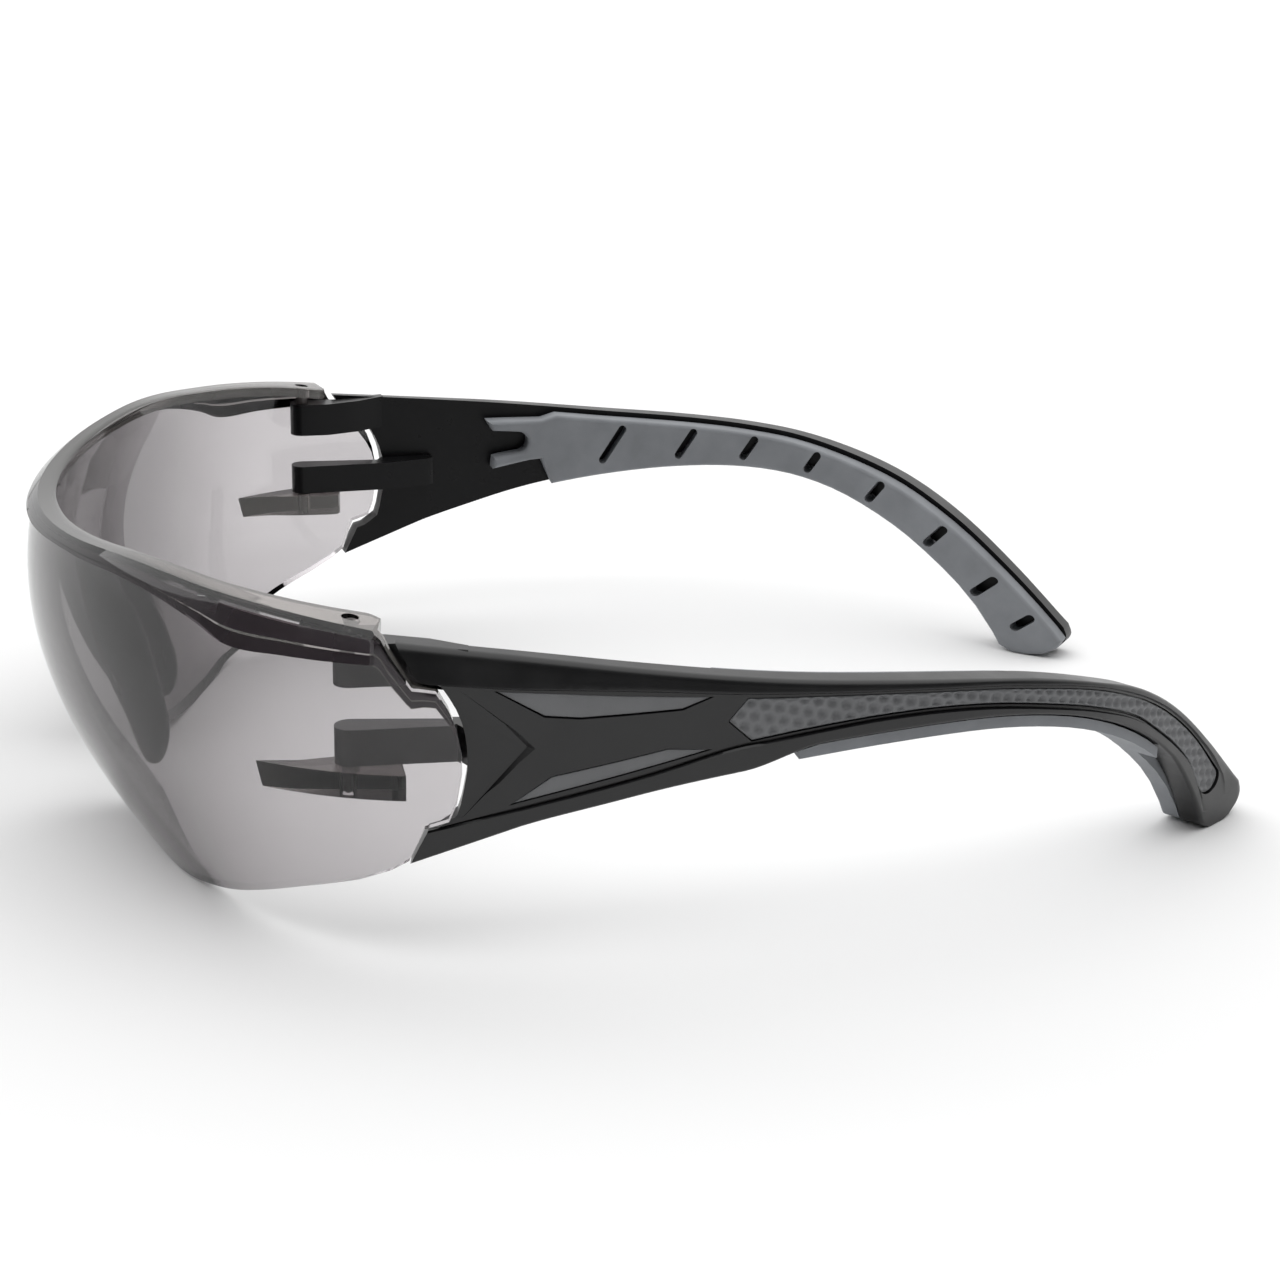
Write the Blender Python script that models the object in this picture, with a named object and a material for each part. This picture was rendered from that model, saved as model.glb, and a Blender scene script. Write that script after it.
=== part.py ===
"""Safety glasses: a one-piece wraparound lens, a soft nose piece and two folding temples.

The glasses stand on a table at z = 0 on the lens's lower edge and the temple tips, facing -Y.
+X is the wearer's left. All design values are in millimetres and are scaled to metres once.
"""
import math

import bmesh
import bpy
from mathutils import Vector

MM = 0.001

# Driving dimensions. Y is measured from the lens's rear edge, and MIDDLE_Y moves the whole
# model so that its box is centred on the origin.
MIDDLE_Y = 30.2
HALF_WIDTH = 68.0
LENS_DEPTH = 52.5
PLAN_POWER = 1.95

# The lens curves vertically too. Its widest level rises towards the front, and the curve
# gets tighter there.
WIDEST_LEVEL = 26.0
WIDEST_LEVEL_RISE = 0.10
SIDE_RADIUS = 80.0
RADIUS_DROP = 0.80

# Moulded brow: a raised band outside and a ledge inside, both along the lens's top edge.
BROW_PROUD = 0.8
BROW_CHAMFER = 0.8
LEDGE_THICKNESS = 1.6

# Hinge: a vertical axis through the brow ledge and a lower shelf.
AXIS_X = 60.5
AXIS_Y = -12.2
PIN_RADIUS = 0.9
PIN_HOLE_RADIUS = 1.0
LUG_HOLE_RADIUS = 1.15
LUG_RADIUS = 2.4
TONGUE_RADIUS = 1.9
LEDGE_END_Y = -10.5
SHELF_BOTTOM = 20.4
SHELF_TOP = 23.6
SHELF_REAR_Y = -6.4
SHELF_FRONT_Y = -25.5
LOWER_TONGUE = (23.9, 28.4)
UPPER_TONGUE = (33.6, 38.7)

# Temple: hard core, soft inner pad and flush soft inlays.
CORE_THICKNESS = 3.4
PAD_THICKNESS = 3.0
PAD_GAP = 0.25
INLAY_DEPTH = 1.0
INLAY_GAP = 0.15
SLOT_WIDTH = 1.4
STATION_STEP = 4.0

# Heights along the lens, as (x, z) ahead of the side panels and (y, z) beside them.
TOP_EDGE = ((-52.5, 42.0), (-47.0, 43.1), (-40.0, 44.0), (-30.0, 43.3), (-20.0, 42.3), (-10.0, 41.0))
NOSE_EDGE = ((0.0, 31.5), (4.0, 30.0), (7.0, 25.5), (9.0, 18.0), (10.5, 10.0), (12.5, 4.6), (16.0, 1.6))
LOWER_EDGE = ((16.0, 1.6), (21.5, 0.8), (32.0, 0.05), (44.0, 0.5), (49.5, 1.7), (54.5, 3.1), (59.0, 5.2),
              (63.0, 7.6))
LOWER_SIDE = ((-19.1, 7.6), (-12.5, 9.7), (-8.5, 11.4), (-6.3, 12.8), (-4.4, 17.2), (-1.5, 18.1), (-0.6, 20.4),
              (0.0, 24.2))
UPPER_SIDE = ((-10.5, 41.05), (-9.4, 40.2), (-8.5, 38.6), (-5.8, 34.8), (-3.0, 34.4), (-1.5, 32.0), (-0.5, 29.4),
              (0.0, 26.6))
LEDGE_DEPTH = ((-52.5, 3.0), (-44.0, 3.2), (-34.0, 4.0), (-24.0, 4.8), (-17.0, 5.8), (-13.5, 6.5), (-12.2, 6.6),
               (-10.5, 5.8))
BROW_BAND = ((-52.5, 1.6), (-47.0, 1.4), (-44.0, 1.7), (-39.0, 2.0), (-35.0, 2.5), (-30.0, 3.9), (-27.0, 5.3),
             (-20.0, 4.8), (-10.5, 3.7))
LENS_THICKNESS = ((-52.5, 2.7), (-40.0, 2.5), (-25.0, 2.1), (0.0, 1.9))
SIDE_COLUMNS = (-16.5, -14.0, -12.2, -10.5, -9.4, -8.5, -7.4, -6.3, -5.8, -5.0, -4.4, -3.0, -1.5, -0.6, 0.0)

# Each hinge tongue's root in plan, as (x, y), from its outer side to its inner side.
UPPER_ROOT = ((62.4, -6.0), (64.4, -3.0), (65.6, 1.0), (64.0, 1.2), (61.0, -3.0), (58.9, -8.0))
LOWER_ROOT = ((62.4, 0.0), (65.6, 1.5), (66.0, 9.0), (63.2, 9.3), (62.2, 8.4), (60.2, 2.0))

# The temple's outer face in plan, as (y, x), and its side outline, as (y, z).
TEMPLE_PLAN = ((-14.0, 65.0), (-5.0, 66.4), (8.0, 68.2), (20.0, 69.7), (32.0, 70.3), (46.0, 69.7), (58.0, 68.0),
               (66.0, 66.0), (74.0, 63.2), (82.0, 59.0), (90.0, 53.3), (98.0, 46.7), (105.0, 41.0), (113.0, 34.8))
TEMPLE_TOP = ((-7.6, 39.4), (4.0, 38.3), (20.0, 36.7), (38.0, 34.9), (56.0, 33.5), (64.0, 32.7), (72.0, 31.5),
              (80.0, 29.4), (88.0, 26.4), (93.0, 23.5), (98.0, 19.7), (103.0, 15.0), (108.0, 9.8), (112.4, 4.8))
TEMPLE_BOTTOM = ((-4.6, 12.7), (2.0, 15.4), (8.0, 17.5), (16.0, 19.8), (24.0, 21.9), (32.0, 23.5), (41.0, 24.8),
                 (50.0, 25.7), (60.0, 26.1), (67.0, 25.8), (74.0, 24.7), (80.0, 22.9), (86.0, 20.1), (91.0, 16.9),
                 (95.0, 13.6), (99.0, 9.5), (102.0, 5.6), (103.6, 2.9))
TEMPLE_TIP = ((112.9, 3.2), (112.3, 1.8), (110.6, 0.5), (108.4, 0.0), (106.4, 0.0), (104.6, 0.9))
TEMPLE_FRONT = ((-6.0, 12.3), (-3.9, 16.6), (-0.8, 17.6), (0.0, 20.2), (0.7, 24.2), (0.7, 26.8), (0.3, 29.6),
                (-0.8, 32.3), (-2.4, 34.8), (-4.8, 35.0))
TEMPLE_END_Y = 112.4
TEMPLE_HEEL_Y = 103.6

# Behind its front part the core's lower edge rises, and the pad's lip covers it from below.
PAD_FRONT_Y = 30.0
CORE_RISE = 1.7
CORE_RISE_START = 33.0
CORE_RISE_END = 43.0
CORE_FADE_START = 97.0
LIP_INSET = 0.8
LIP_END_Y = 94.0
PAD_DROP = 0.8

# Slots in the inner pad, as (middle y, length between the end centres).
# Slots in the inner pad, as (y, overall length, angle above the horizontal).
SLOTS = ((40.0, 7.6, 57.0), (53.0, 6.0, 57.0), (64.2, 4.8, 57.0), (75.4, 4.2, 57.0), (86.0, 4.4, 57.0),
         (95.2, 4.6, 54.0), (102.2, 4.8, 47.0), (107.6, 4.0, 44.0))

GREY_RUBBER = (0.17, 0.18, 0.19)
BLACK_PLASTIC = (0.012, 0.012, 0.013)


def clear_scene():
    """Remove every object that the file holds."""
    for old in list(bpy.data.objects):
        bpy.data.objects.remove(old, do_unlink=True)


def smooth_through(points):
    """Return a smooth function through (input, output) points, with no overshoot at the ends."""
    xs = [p[0] for p in points]
    ys = [p[1] for p in points]
    slopes = [(ys[i + 1] - ys[i]) / (xs[i + 1] - xs[i]) for i in range(len(xs) - 1)]
    tangents = [slopes[0]]
    for i in range(1, len(xs) - 1):
        tangents.append((slopes[i - 1] + slopes[i]) / 2)
    tangents.append(slopes[-1])

    def value(x):
        i = 0
        while i < len(xs) - 2 and x > xs[i + 1]:
            i += 1
        width = xs[i + 1] - xs[i]
        t = (x - xs[i]) / width
        if t < 0 or t > 1:
            end = 0 if t < 0 else -1
            return ys[end] + tangents[end] * (x - xs[end])
        h00 = (1 + 2 * t) * (1 - t) ** 2
        h10 = t * (1 - t) ** 2
        h01 = t * t * (3 - 2 * t)
        h11 = t * t * (t - 1)
        return h00 * ys[i] + h10 * width * tangents[i] + h01 * ys[i + 1] + h11 * width * tangents[i + 1]

    return value


def straight_through(points):
    """Return a function that joins (input, output) points with straight lines."""

    def value(x):
        if x <= points[0][0]:
            return points[0][1]
        for (x0, y0), (x1, y1) in zip(points, points[1:]):
            if x <= x1:
                return y0 + (y1 - y0) * (x - x0) / (x1 - x0)
        return points[-1][1]

    return value


top_edge = smooth_through(TOP_EDGE)
nose_edge = smooth_through(NOSE_EDGE)
lower_edge = smooth_through(LOWER_EDGE)
lower_side = straight_through(LOWER_SIDE)
upper_side = straight_through(UPPER_SIDE)
ledge_depth = smooth_through(LEDGE_DEPTH)
brow_band = smooth_through(BROW_BAND)
lens_thickness = smooth_through(LENS_THICKNESS)
temple_plan = smooth_through(TEMPLE_PLAN)
temple_top = smooth_through(TEMPLE_TOP)
temple_bottom = smooth_through(TEMPLE_BOTTOM)


def material(name, colour, roughness, alpha=1.0):
    """Make a Principled material."""
    found = bpy.data.materials.get(name)
    if found:
        return found
    made = bpy.data.materials.new(name)
    made.use_nodes = True
    shader = made.node_tree.nodes["Principled BSDF"]
    shader.inputs["Base Color"].default_value = (*colour, 1.0)
    shader.inputs["Roughness"].default_value = roughness
    shader.inputs["Metallic"].default_value = 0.0
    shader.inputs["Alpha"].default_value = alpha
    return made


def make_object(name, verts, faces, finish=None):
    """Make an object from vertices in millimetres, with its faces turned outwards."""
    mesh = bpy.data.meshes.new(name)
    mesh.from_pydata([(x * MM, (y - MIDDLE_Y) * MM, z * MM) for x, y, z in verts], [], faces)
    if finish:
        mesh.materials.append(finish)
    made = bpy.data.objects.new(name, mesh)
    bpy.context.scene.collection.objects.link(made)
    work = bmesh.new()
    work.from_mesh(mesh)
    bmesh.ops.recalc_face_normals(work, faces=work.faces)
    work.to_mesh(mesh)
    work.free()
    return made


def prism(outline, low, high, axis):
    """Return the vertices and faces of an outline extruded along x (axis 0) or z (axis 2)."""
    count = len(outline)
    verts = []
    for level in (low, high):
        for a, b in outline:
            verts.append((level, a, b) if axis == 0 else (a, b, level))
    faces = [tuple(range(count)), tuple(range(2 * count - 1, count - 1, -1))]
    for i in range(count):
        j = (i + 1) % count
        faces.append((i, count + i, count + j, j))
    return verts, faces


def circle(centre, radius, sides=20, start=0.0, turn=360.0):
    """Return points on a circle or an arc, in degrees."""
    whole = abs(turn) >= 360.0
    steps = sides if whole else sides + 1
    points = []
    for i in range(steps):
        angle = math.radians(start + turn * i / sides)
        points.append((centre[0] + radius * math.cos(angle), centre[1] + radius * math.sin(angle)))
    return points


def boolean(target, other, operation):
    """Cut other from target, or join it to target, and remove other."""
    step = target.modifiers.new(operation, "BOOLEAN")
    step.operation = operation
    step.solver = "EXACT"
    step.object = other
    graph = bpy.context.evaluated_depsgraph_get()
    result = bpy.data.meshes.new_from_object(target.evaluated_get(graph))
    target.modifiers.clear()
    target.data = result
    bpy.data.objects.remove(other, do_unlink=True)


# Lens ---------------------------------------------------------------------------------------

def plan_angle_at_x(x):
    """Angle along the lens's plan curve at distance x from the middle."""
    return math.asin(min(1.0, (x / HALF_WIDTH) ** (PLAN_POWER / 2)))


def plan_angle_at_y(y):
    """Angle along the lens's plan curve at distance -y ahead of its rear edge."""
    return math.acos(min(1.0, (-y / LENS_DEPTH) ** (PLAN_POWER / 2)))


def plan_point(angle):
    """Point and outward direction on the lens's plan curve, a superellipse."""
    x = HALF_WIDTH * math.sin(angle) ** (2 / PLAN_POWER)
    y = -LENS_DEPTH * max(0.0, math.cos(angle)) ** (2 / PLAN_POWER)
    nx = (x / HALF_WIDTH) ** (PLAN_POWER - 1) / HALF_WIDTH
    ny = -((-y / LENS_DEPTH) ** (PLAN_POWER - 1)) / LENS_DEPTH
    size = math.hypot(nx, ny)
    return x, y, nx / size, ny / size


def lens_point(angle, z, inset):
    """Point on the lens at height z, inset from its outer surface."""
    x, y, nx, ny = plan_point(angle)
    level = WIDEST_LEVEL - WIDEST_LEVEL_RISE * y
    radius = SIDE_RADIUS + RADIUS_DROP * y
    offset = (z - level) ** 2 / (2 * radius) + inset
    return x - offset * nx, y - offset * ny, z


def lens_angles():
    """Column positions from the middle to the rear edge."""
    xs = [0.0, 2.0, 4.0, 5.5, 7.0, 8.0, 9.0, 9.8, 10.5, 11.5, 12.5, 14.0, 16.0]
    angles = [plan_angle_at_x(x) for x in xs]
    side = plan_angle_at_y(-19.1)
    steps = 16
    angles += [angles[-1] + (side - angles[-1]) * i / steps for i in range(1, steps + 1)]
    angles += [plan_angle_at_y(y) for y in SIDE_COLUMNS]
    return angles


def lens_limits(angle):
    """Lowest and highest level of the lens at an angle."""
    x, y = plan_point(angle)[:2]
    if x < 16.0:
        low = nose_edge(x)
    elif y < -19.2:
        low = lower_edge(x)
    else:
        low = lower_side(y)
    high = upper_side(y) if y > LEDGE_END_Y + 0.01 else top_edge(y)
    return low, high


def lens_column(angle):
    """Profile of the lens at an angle: outer side upwards, then inner side downwards."""
    y = plan_point(angle)[1]
    low, high = lens_limits(angle)
    full = y < LEDGE_END_Y + 0.01
    proud = BROW_PROUD if full else 0.0
    band = brow_band(y) if full else (high - low) * 0.12
    ridge = high - band
    outer = [(low + (ridge - low) * i / 8, 0.0) for i in range(9)]
    outer.append((ridge + band * 0.1, -proud))
    outer.append((high - (BROW_CHAMFER if full else band * 0.15), -proud))
    outer.append((high, BROW_CHAMFER - proud if full else 0.2))
    under = high - (LEDGE_THICKNESS if full else band * 0.3)
    thickness = lens_thickness(y)
    inner = [(low + (under - low) * i / 8, thickness) for i in range(9)]
    inner.append((high, thickness))
    depth = ledge_depth(y) if full else 0.0
    ledge = [(under, depth), (high, depth)] if full else []
    return outer, inner, ledge


def lens_half(side, verts, faces):
    """Add one half of the lens, whose middle column is shared by both halves."""
    columns = []
    for index, angle in enumerate(lens_angles()):
        outer, inner, ledge = lens_column(angle)
        rows = []
        for part in (outer, inner, ledge):
            ids = []
            for z, inset in part:
                x, y, level = lens_point(angle, z, inset)
                if index == 0:
                    x = 0.0
                key = (round(x * side, 5), round(y, 5), round(level, 5))
                if key not in verts:
                    verts[key] = len(verts)
                ids.append(verts[key])
            rows.append(ids)
        columns.append(rows)
    for (o0, i0, l0), (o1, i1, l1) in zip(columns, columns[1:]):
        for a in range(len(o0) - 1):
            faces.append((o0[a], o1[a], o1[a + 1], o0[a + 1]))
        faces.append((o0[0], i0[0], i1[0], o1[0]))
        for a in range(len(i0) - 2):
            faces.append((i0[a], i0[a + 1], i1[a + 1], i1[a]))
        faces.append((o0[-1], o1[-1], i1[-1], i0[-1]))
        if l1:
            faces.append((i0[-1], i1[-1], l1[1], l0[1]))
            faces.append((l0[1], l1[1], l1[0], l0[0]))
            faces.append((l0[0], l1[0], i1[-2], i0[-2]))
        else:
            faces.append((i0[-2], i0[-1], i1[-1], i1[-2]))
            if l0:
                faces.append((i0[-1], l0[1], l0[0], i0[-2]))
    outer, inner, _ = columns[-1]
    faces.append(tuple(outer) + tuple(reversed(inner)))


def build_shelf(side):
    """Lower hinge shelf inside the lens, tapering forwards into it."""
    outline = [(AXIS_X - LUG_RADIUS, SHELF_REAR_Y), (AXIS_X - LUG_RADIUS, AXIS_Y - 1.5)]
    outline.append((58.6, -18.0))
    level = (SHELF_BOTTOM + SHELF_TOP) / 2
    stations = (SHELF_FRONT_Y, -21.0, -16.0, -11.0, SHELF_REAR_Y)
    wall = [lens_point(plan_angle_at_y(y), level, 1.1)[:2] for y in stations]
    outline += wall
    verts, faces = prism([(x * side, y) for x, y in outline], SHELF_BOTTOM, SHELF_TOP, 2)
    return make_object("shelf", verts, faces)


def drill(target, x, y, radius, low, high):
    """Cut a vertical round hole."""
    verts, faces = prism(circle((x, y), radius), low, high, 2)
    boolean(target, make_object("drill", verts, faces), "DIFFERENCE")


def build_lens():
    """The one-piece lens with its brow, bridge and hinge lugs."""
    verts = {}
    faces = []
    for side in (1, -1):
        lens_half(side, verts, faces)
    finish = material("smoke_polycarbonate", (0.09, 0.08, 0.085), 0.06, 0.55)
    lens = make_object("lens", list(verts), faces, finish)
    for side in (1, -1):
        boolean(lens, build_shelf(side), "UNION")
        drill(lens, AXIS_X * side, AXIS_Y, LUG_HOLE_RADIUS, SHELF_BOTTOM - 1, SHELF_TOP + 1)
        drill(lens, AXIS_X * side, AXIS_Y, LUG_HOLE_RADIUS, SHELF_TOP + 12, top_edge(AXIS_Y) + 2)
    lens.data.materials.clear()
    lens.data.materials.append(finish)
    return lens


# Nose piece ---------------------------------------------------------------------------------

def build_nose_piece():
    """Soft saddle behind the bridge, with a pad down each side of the nose."""
    stations = []
    # Each station: x, z, front y, rear y, half thickness across the nose.
    half = ((0.0, 33.6, -47.0, -42.8, 1.3), (4.0, 32.2, -46.8, -42.0, 1.3), (7.6, 28.2, -46.0, -39.9, 1.3),
            (9.0, 24.6, -45.2, -38.2, 1.2), (10.2, 19.6, -44.0, -37.1, 1.2), (11.3, 15.5, -42.5, -36.2, 1.25),
            (12.3, 11.9, -41.0, -35.4, 1.3), (13.0, 8.9, -40.3, -35.6, 1.3), (13.5, 6.6, -39.5, -36.5, 1.1),
            (13.8, 5.6, -38.8, -37.4, 0.7))
    for x, z, front, rear, thick in reversed(half[1:]):
        stations.append((-x, z, front, rear, thick))
    stations += half
    verts = []
    faces = []
    ring = 12
    for index, (x, z, front, rear, thick) in enumerate(stations):
        before = stations[max(0, index - 1)]
        after = stations[min(len(stations) - 1, index + 1)]
        along = Vector((after[0] - before[0], after[1] - before[1])).normalized()
        across = Vector((-along.y, along.x))
        for i in range(ring):
            angle = 2 * math.pi * i / ring
            out = thick * math.cos(angle)
            y = (front + rear) / 2 + (rear - front) / 2 * math.sin(angle)
            verts.append((x + across.x * out, y, z + across.y * out))
    for s in range(len(stations) - 1):
        for i in range(ring):
            j = (i + 1) % ring
            faces.append((s * ring + i, s * ring + j, (s + 1) * ring + j, (s + 1) * ring + i))
    faces.append(tuple(range(ring)))
    last = (len(stations) - 1) * ring
    faces.append(tuple(range(last + ring - 1, last - 1, -1)))
    return make_object("nose_piece", verts, faces, material("nose_rubber", (0.03, 0.03, 0.032), 0.6))


# Temples ------------------------------------------------------------------------------------

def sampled(curve, start, end, step):
    """Points on a curve at even steps, both ends included."""
    count = max(1, round(abs(end - start) / step))
    places = [start + (end - start) * i / count for i in range(count + 1)]
    return [(place, curve(place)) for place in places]


def core_bottom(y):
    """Lower edge of the hard core, which rises above the pad's edge behind the front part."""
    t = min(1.0, max(0.0, (y - CORE_RISE_START) / (CORE_RISE_END - CORE_RISE_START)))
    fade = min(1.0, max(0.0, (TEMPLE_HEEL_Y - y) / (TEMPLE_HEEL_Y - CORE_FADE_START)))
    return temple_bottom(y) + CORE_RISE * t * t * (3 - 2 * t) * fade


def core_outline():
    """Side outline of the hard core."""
    outline = sampled(temple_top, -7.6, TEMPLE_END_Y, 6.0)
    outline += TEMPLE_TIP
    outline += sampled(core_bottom, TEMPLE_HEEL_Y, -4.6, 4.5)
    outline += TEMPLE_FRONT
    return outline


def pad_outline():
    """Side outline of the inner pad, whose front has two fingers with a notch between them."""
    outline = sampled(lambda y: temple_top(y) - PAD_DROP, PAD_FRONT_Y, TEMPLE_END_Y - 0.8, 6.0)
    outline += TEMPLE_TIP
    outline += sampled(temple_bottom, TEMPLE_HEEL_Y, PAD_FRONT_Y - 0.7, 4.5)
    outline += [(27.3, 27.4), (25.4, 27.3), (18.8, 26.0), (19.0, 27.9)]
    outline += circle((23.2, 30.4), 1.8, 6, -90.0, 180.0)
    outline += [(18.8, 32.5), (17.8, 34.2), (27.4, 34.1)]
    return outline


def lip_outline():
    """Side outline of the pad's lip, a strip below the core's lower edge."""
    start = CORE_RISE_END - 3.0
    outline = sampled(temple_bottom, start, LIP_END_Y, 4.5)
    outline += [(y, z - PAD_GAP) for y, z in sampled(core_bottom, LIP_END_Y, start, 4.5)]
    return outline


def grown(outline, distance):
    """Move each point of a closed outline outwards by a distance."""
    area = sum(a[0] * b[1] - b[0] * a[1] for a, b in zip(outline, outline[1:] + outline[:1]))
    turn = 1.0 if area > 0 else -1.0
    result = []
    count = len(outline)
    for i in range(count):
        before = Vector(outline[i - 1])
        here = Vector(outline[i])
        after = Vector(outline[(i + 1) % count])
        first = (here - before).normalized()
        second = (after - here).normalized()
        normal = Vector((first.y + second.y, -first.x - second.x)).normalized() * turn
        spread = max(0.5, normal.dot(Vector((first.y, -first.x)) * turn))
        moved = here + normal * (distance / spread)
        result.append((moved.x, moved.y))
    return result


def grip_outline():
    """Outline of the dimpled strip on the outer face, pointed in front and round behind."""
    upper = smooth_through(((33.4, 32.8), (44.0, 32.5), (56.0, 31.9), (68.0, 30.8), (80.6, 28.1), (88.0, 25.0),
                            (93.0, 22.0), (97.0, 18.9), (102.0, 14.1), (107.0, 8.0)))
    lower = smooth_through(((34.0, 27.6), (40.0, 28.6), (50.0, 29.7), (58.5, 29.9), (66.0, 29.3), (74.5, 27.7),
                            (81.0, 25.8), (88.4, 22.5), (93.0, 19.1), (98.0, 14.7), (101.0, 11.2), (103.1, 7.4)))
    outline = [(31.2, 30.1)]
    outline += sampled(upper, 33.4, 107.0, 6.0)
    outline += [(107.9, 5.8), (107.4, 4.6), (106.2, 4.2), (104.6, 4.9)]
    outline += sampled(lower, 103.1, 34.0, 6.0)
    return outline


def window_outlines():
    """Outlines of the two soft windows ahead of the dimpled strip."""
    upper = [(4.0, 34.0), (9.6, 31.0), (13.7, 30.8), (25.6, 31.8), (29.0, 33.3)]
    lower = [(5.2, 19.6), (10.5, 23.4), (24.0, 26.7), (29.3, 26.4)]
    return {"upper_window": upper, "lower_window": lower}


def slot_outline(y, length, angle):
    """Outline of one slanted, round-ended slot in the inner pad."""
    top = temple_top(y)
    bottom = temple_bottom(y) if y < TEMPLE_HEEL_Y else 0.6
    middle = (top + bottom) / 2
    direction = Vector((math.cos(math.radians(angle)), math.sin(math.radians(angle))))
    reach = length - SLOT_WIDTH
    outline = []
    for end, start in ((0.5, angle - 90.0), (-0.5, angle + 90.0)):
        centre = (y + direction.x * reach * end, middle + direction.y * reach * end)
        outline += circle(centre, SLOT_WIDTH / 2, 4, start, 180.0)
    return outline


def flat_plate(name, outline, inner, outer, finish=None):
    """A plate in the temple's flat state: x is the distance outwards from the outer face."""
    verts, faces = prism(outline, inner, outer, 0)
    return make_object(name, verts, faces, finish)


def bend_temple(plate, side):
    """Cut a flat plate at regular stations and bend it to the temple's plan curve."""
    mesh = plate.data
    work = bmesh.new()
    work.from_mesh(mesh)
    y = -4.0
    while y < 112.0:
        geometry = work.verts[:] + work.edges[:] + work.faces[:]
        place = (0, (y - MIDDLE_Y) * MM, 0)
        bmesh.ops.bisect_plane(work, geom=geometry, plane_co=place, plane_no=(0, 1, 0), dist=1e-7)
        y += STATION_STEP
    for vert in work.verts:
        offset = vert.co.x / MM
        y = vert.co.y / MM + MIDDLE_Y
        slope = (temple_plan(y + 0.05) - temple_plan(y - 0.05)) / 0.1
        size = math.hypot(1.0, slope)
        vert.co.x = side * (temple_plan(y) + offset / size) * MM
        vert.co.y = (y - offset * slope / size - MIDDLE_Y) * MM
    bmesh.ops.remove_doubles(work, verts=work.verts, dist=1e-6)
    bmesh.ops.triangulate(work, faces=[f for f in work.faces if len(f.verts) > 4])
    bmesh.ops.recalc_face_normals(work, faces=work.faces)
    work.to_mesh(mesh)
    work.free()


def build_tongue(side, span, root, finish):
    """Hinge tongue: a bar whose front is round about the hinge axis, rooted in the temple."""
    outline = circle((AXIS_X, AXIS_Y), TONGUE_RADIUS, 10, 180.0, 180.0) + list(root)
    verts, faces = prism([(x * side, y) for x, y in outline], span[0], span[1], 2)
    return make_object("tongue", verts, faces, finish)


def build_temple(side, suffix):
    """One temple: core with tongues, pins, inner pad and outer inlays."""
    plastic = material("black_plastic", BLACK_PLASTIC, 0.35)
    rubber = material("grey_rubber", GREY_RUBBER, 0.75)
    core = flat_plate("temple_" + suffix, core_outline(), -CORE_THICKNESS, 0.0, plastic)
    inlays = {"grip_inlay": grip_outline()}
    inlays.update(window_outlines())
    for outline in inlays.values():
        cutter = flat_plate("pocket", grown(outline, INLAY_GAP), -INLAY_DEPTH, 1.0)
        boolean(core, cutter, "DIFFERENCE")
    bend_temple(core, side)
    for span, root in ((LOWER_TONGUE, LOWER_ROOT), (UPPER_TONGUE, UPPER_ROOT)):
        boolean(core, build_tongue(side, span, root, plastic), "UNION")
    drill(core, AXIS_X * side, AXIS_Y, PIN_HOLE_RADIUS, LOWER_TONGUE[0] - 1, LOWER_TONGUE[1] - 1.2)
    drill(core, AXIS_X * side, AXIS_Y, PIN_HOLE_RADIUS, UPPER_TONGUE[0] + 1.2, UPPER_TONGUE[1] + 1)
    core.data.materials.clear()
    core.data.materials.append(plastic)
    for name, outline in inlays.items():
        inlay = flat_plate(name + "_" + suffix, outline, INLAY_GAP - INLAY_DEPTH, -0.02, rubber)
        bend_temple(inlay, side)
    back = -CORE_THICKNESS - PAD_GAP
    pad = flat_plate("temple_pad_" + suffix, pad_outline(), back - PAD_THICKNESS, back, rubber)
    boolean(pad, flat_plate("lip", lip_outline(), back - 1.0, -LIP_INSET), "UNION")
    for y, length, angle in SLOTS:
        slot = flat_plate("slot", slot_outline(y, length, angle), back - PAD_THICKNESS - 1, back + 0.5)
        boolean(pad, slot, "DIFFERENCE")
    bend_temple(pad, side)
    pad.data.materials.clear()
    pad.data.materials.append(rubber)
    build_pins(side, suffix, plastic)


def build_pins(side, suffix, finish):
    """The two hinge pins: up through the brow ledge and down through the shelf."""
    spans = {"upper": (UPPER_TONGUE[0] + 1.4, top_edge(AXIS_Y) - 0.3),
             "lower": (SHELF_BOTTOM + 0.1, LOWER_TONGUE[1] - 1.4)}
    for name, (low, high) in spans.items():
        verts, faces = prism(circle((0.0, 0.0), PIN_RADIUS), low, high, 2)
        centred = [(x, y + MIDDLE_Y, z) for x, y, z in verts]
        pin = make_object("hinge_pin_%s_%s" % (name, suffix), centred, faces, finish)
        pin.location = (side * AXIS_X * MM, (AXIS_Y - MIDDLE_Y) * MM, 0.0)


def main():
    """Build every piece."""
    clear_scene()
    build_lens()
    build_nose_piece()
    build_temple(1, "left")
    build_temple(-1, "right")


main()
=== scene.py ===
"""Safety glasses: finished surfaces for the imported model, with its camera, floor and light.

Design values are in millimetres. Y is measured from the lens's rear edge, and MIDDLE_Y moves
each point into the model's frame. A temple is modelled flat, with x as the distance outwards
from its outer face, and then bent to its plan curve.
"""
import math

import bmesh
import bpy
from mathutils import Matrix, Vector


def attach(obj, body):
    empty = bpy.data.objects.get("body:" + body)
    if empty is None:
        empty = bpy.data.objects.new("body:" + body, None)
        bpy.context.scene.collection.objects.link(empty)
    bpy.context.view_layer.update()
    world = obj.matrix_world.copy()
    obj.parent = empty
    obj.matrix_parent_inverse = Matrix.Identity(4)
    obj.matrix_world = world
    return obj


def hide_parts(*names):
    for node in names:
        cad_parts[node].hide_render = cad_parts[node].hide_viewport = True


MM = 0.001
MIDDLE_Y = 30.2
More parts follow.
